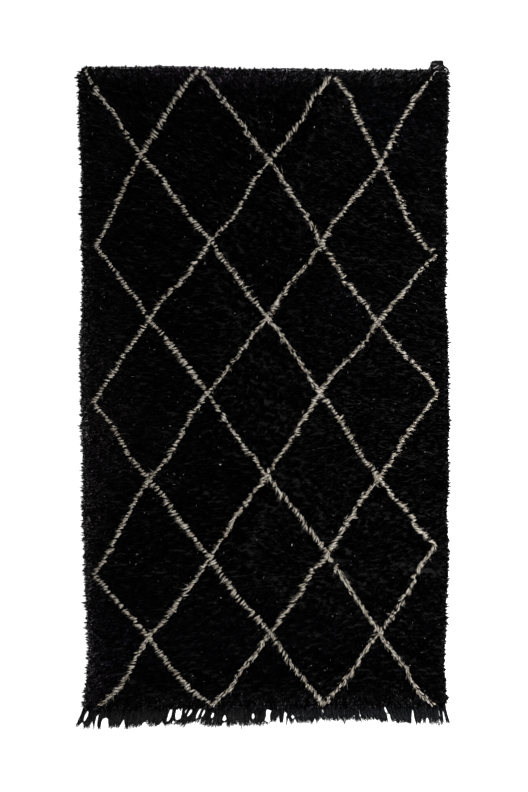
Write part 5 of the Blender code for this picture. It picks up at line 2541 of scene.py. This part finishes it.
@dataclass
class Studio:
    """The white floor, the soft light at the right and the camera straight above the rug.

    The floor is lit from below, so that it takes no shadow.

    Attributes:
        middle: Where the camera looks, as x and y.
        frame_length: What the picture's long side takes in, in metres.
        distance: Height of the camera.
        floor_size: Side of the floor.
        floor_shade: The floor's darkest and lightest shade.
        floor_glow: Strength of its light from below.
        sky: Strength of the light from all round.
        lamp: Where the soft light hangs.
        lamp_size: How wide it is.
        lamp_watts: Its power.
    """

    middle: tuple[float, float] = (0.0091, -0.0068)
    frame_length: float = 3.168
    distance: float = 9.0
    floor_size: float = 120.0
    floor_shade: tuple[float, float] = (0.84, 0.88)
    floor_glow: float = 0.9
    sky: float = 0.55
    lamp: tuple[float, float, float] = (2.6, -0.5, 2.2)
    lamp_size: float = 2.4
    lamp_watts: float = 230.0

    def add_camera(self) -> None:
        """Hangs the camera over the rug with its top towards the rug's top end.

        The lens is sensor times distance over what the long side takes in.
        """
        lens = bpy.data.cameras.new("camera")
        lens.lens = lens.sensor_width * self.distance / self.frame_length
        lens.clip_end = 200.0
        camera = bpy.data.objects.new("camera", lens)
        camera.location = (*self.middle, self.distance)
        bpy.context.scene.collection.objects.link(camera)
        bpy.context.scene.camera = camera

    def add_floor(self) -> None:
        """Lays the floor just under the rug, in a pale finish that is a little uneven."""
        half = self.floor_size / 2
        points = np.array([(-half, -half, 0.0), (half, -half, 0.0), (half, half, 0.0), (-half, half, 0.0)])
        floor = add_mesh("floor", points, np.array([(0, 1, 2), (0, 2, 3)], np.int32))
        made, bench = start_material("pale_floor")
        place = bench.add("ShaderNodeTexCoord").outputs["Object"]
        shade = bench.spread(bench.noise(place, 1.5, 2.0), *self.floor_shade)
        surface = bench.add("ShaderNodeBsdfPrincipled")
        surface.inputs["Roughness"].default_value = 0.9
        surface.inputs["Specular IOR Level"].default_value = 0.1
        bench.feed(surface.inputs["Base Color"], bench.scaled((1.0, 1.0, 1.0), shade))
        bench.feed(surface.inputs["Emission Color"], bench.scaled((1.0, 1.0, 1.0), shade))
        surface.inputs["Emission Strength"].default_value = self.floor_glow
        bench.close(surface)
        floor.data.materials.append(made)
        floor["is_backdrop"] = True

    def add_light(self) -> None:
        """Lights the scene evenly from all round, with one large soft light that faces the rug's middle."""
        world = bpy.data.worlds.new("studio")
        world.use_nodes = True
        sky = world.node_tree.nodes["Background"]
        sky.inputs["Color"].default_value = (1.0, 1.0, 1.0, 1.0)
        sky.inputs["Strength"].default_value = self.sky
        bpy.context.scene.world = world
        lamp = bpy.data.lights.new("soft_light", "AREA")
        lamp.shape, lamp.size = "DISK", self.lamp_size
        lamp.energy = self.lamp_watts
        light = bpy.data.objects.new("soft_light", lamp)
        light.location = self.lamp
        x, y, z = self.lamp
        light.rotation_euler = (0.0, math.atan2(math.hypot(x, y), z), math.atan2(y, x))
        light.visible_camera = False
        bpy.context.scene.collection.objects.link(light)

    def build(self) -> None:
        """Sets up the whole studio."""
        bpy.context.scene.view_settings.view_transform = "Standard"
        self.add_camera()
        self.add_floor()
        self.add_light()


def corners() -> list[list[float]]:
    """The lowest and highest corner of all that is shown, as plain lists."""
    return [list(corner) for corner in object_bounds()]


def main() -> None:
    """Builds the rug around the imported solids."""
    logging.basicConfig(level=logging.INFO, format="%(name)s: %(message)s", stream=sys.stdout)
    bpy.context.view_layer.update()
    Studio().build()
    fibres, rows = make_fibre_group(), make_knot_row_group()
    black = YarnFinish("black_pile_wool", cloud=2.2, cloud_size=0.0055, shine=0.0).build(fibres)
    ivory = YarnFinish("ivory_pile_wool", streak=0.20, cloud=0.12, painted_deep_shade=0.30, shine=0.1).build(fibres)
    warp = YarnFinish(
        "warp_yarn_wool", streak=0.45, cloud=0.9, cloud_size=0.0060, painted_deep_shade=0.32, shine=0.0
    ).build(fibres)
    corner = YarnFinish("corner_yarn_wool", streak=0.4, painted_deep_shade=0.9, shine=0.02).build(fibres)
    outline = RugOutline()
    ground = GroundWeave(outline)
    sheet = ground.build(GroundFinish("ground_weave_wool").build(fibres, rows))
    dye = WoolDye(outline)
    pile = KnottedPile(outline, Lattice(), PileLie(), dye)
    black_knots, ivory_knots = pile.black_knots(), pile.ivory_knots()
    log.info("%d black knots and %d ivory yarn ends", len(black_knots.x), len(ivory_knots.x))
    on_sheet = pile.build_black(black_knots, black) + pile.build_ivory(ivory_knots, ivory)
    on_sheet += PileRim(outline, dye).build(black)
    on_sheet.append(KnotBacks(dye).build(ivory_knots, ivory))
    on_sheet.append(Lint(outline).build(ivory))
    on_sheet += WarpFringe(outline).build(warp)
    on_sheet += CornerTuft().build(corner)
    area = ground.area()
    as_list(on_sheet)
    log.info("ground weave: %.3f square metres", area)


if __name__ == "__main__":
    main()
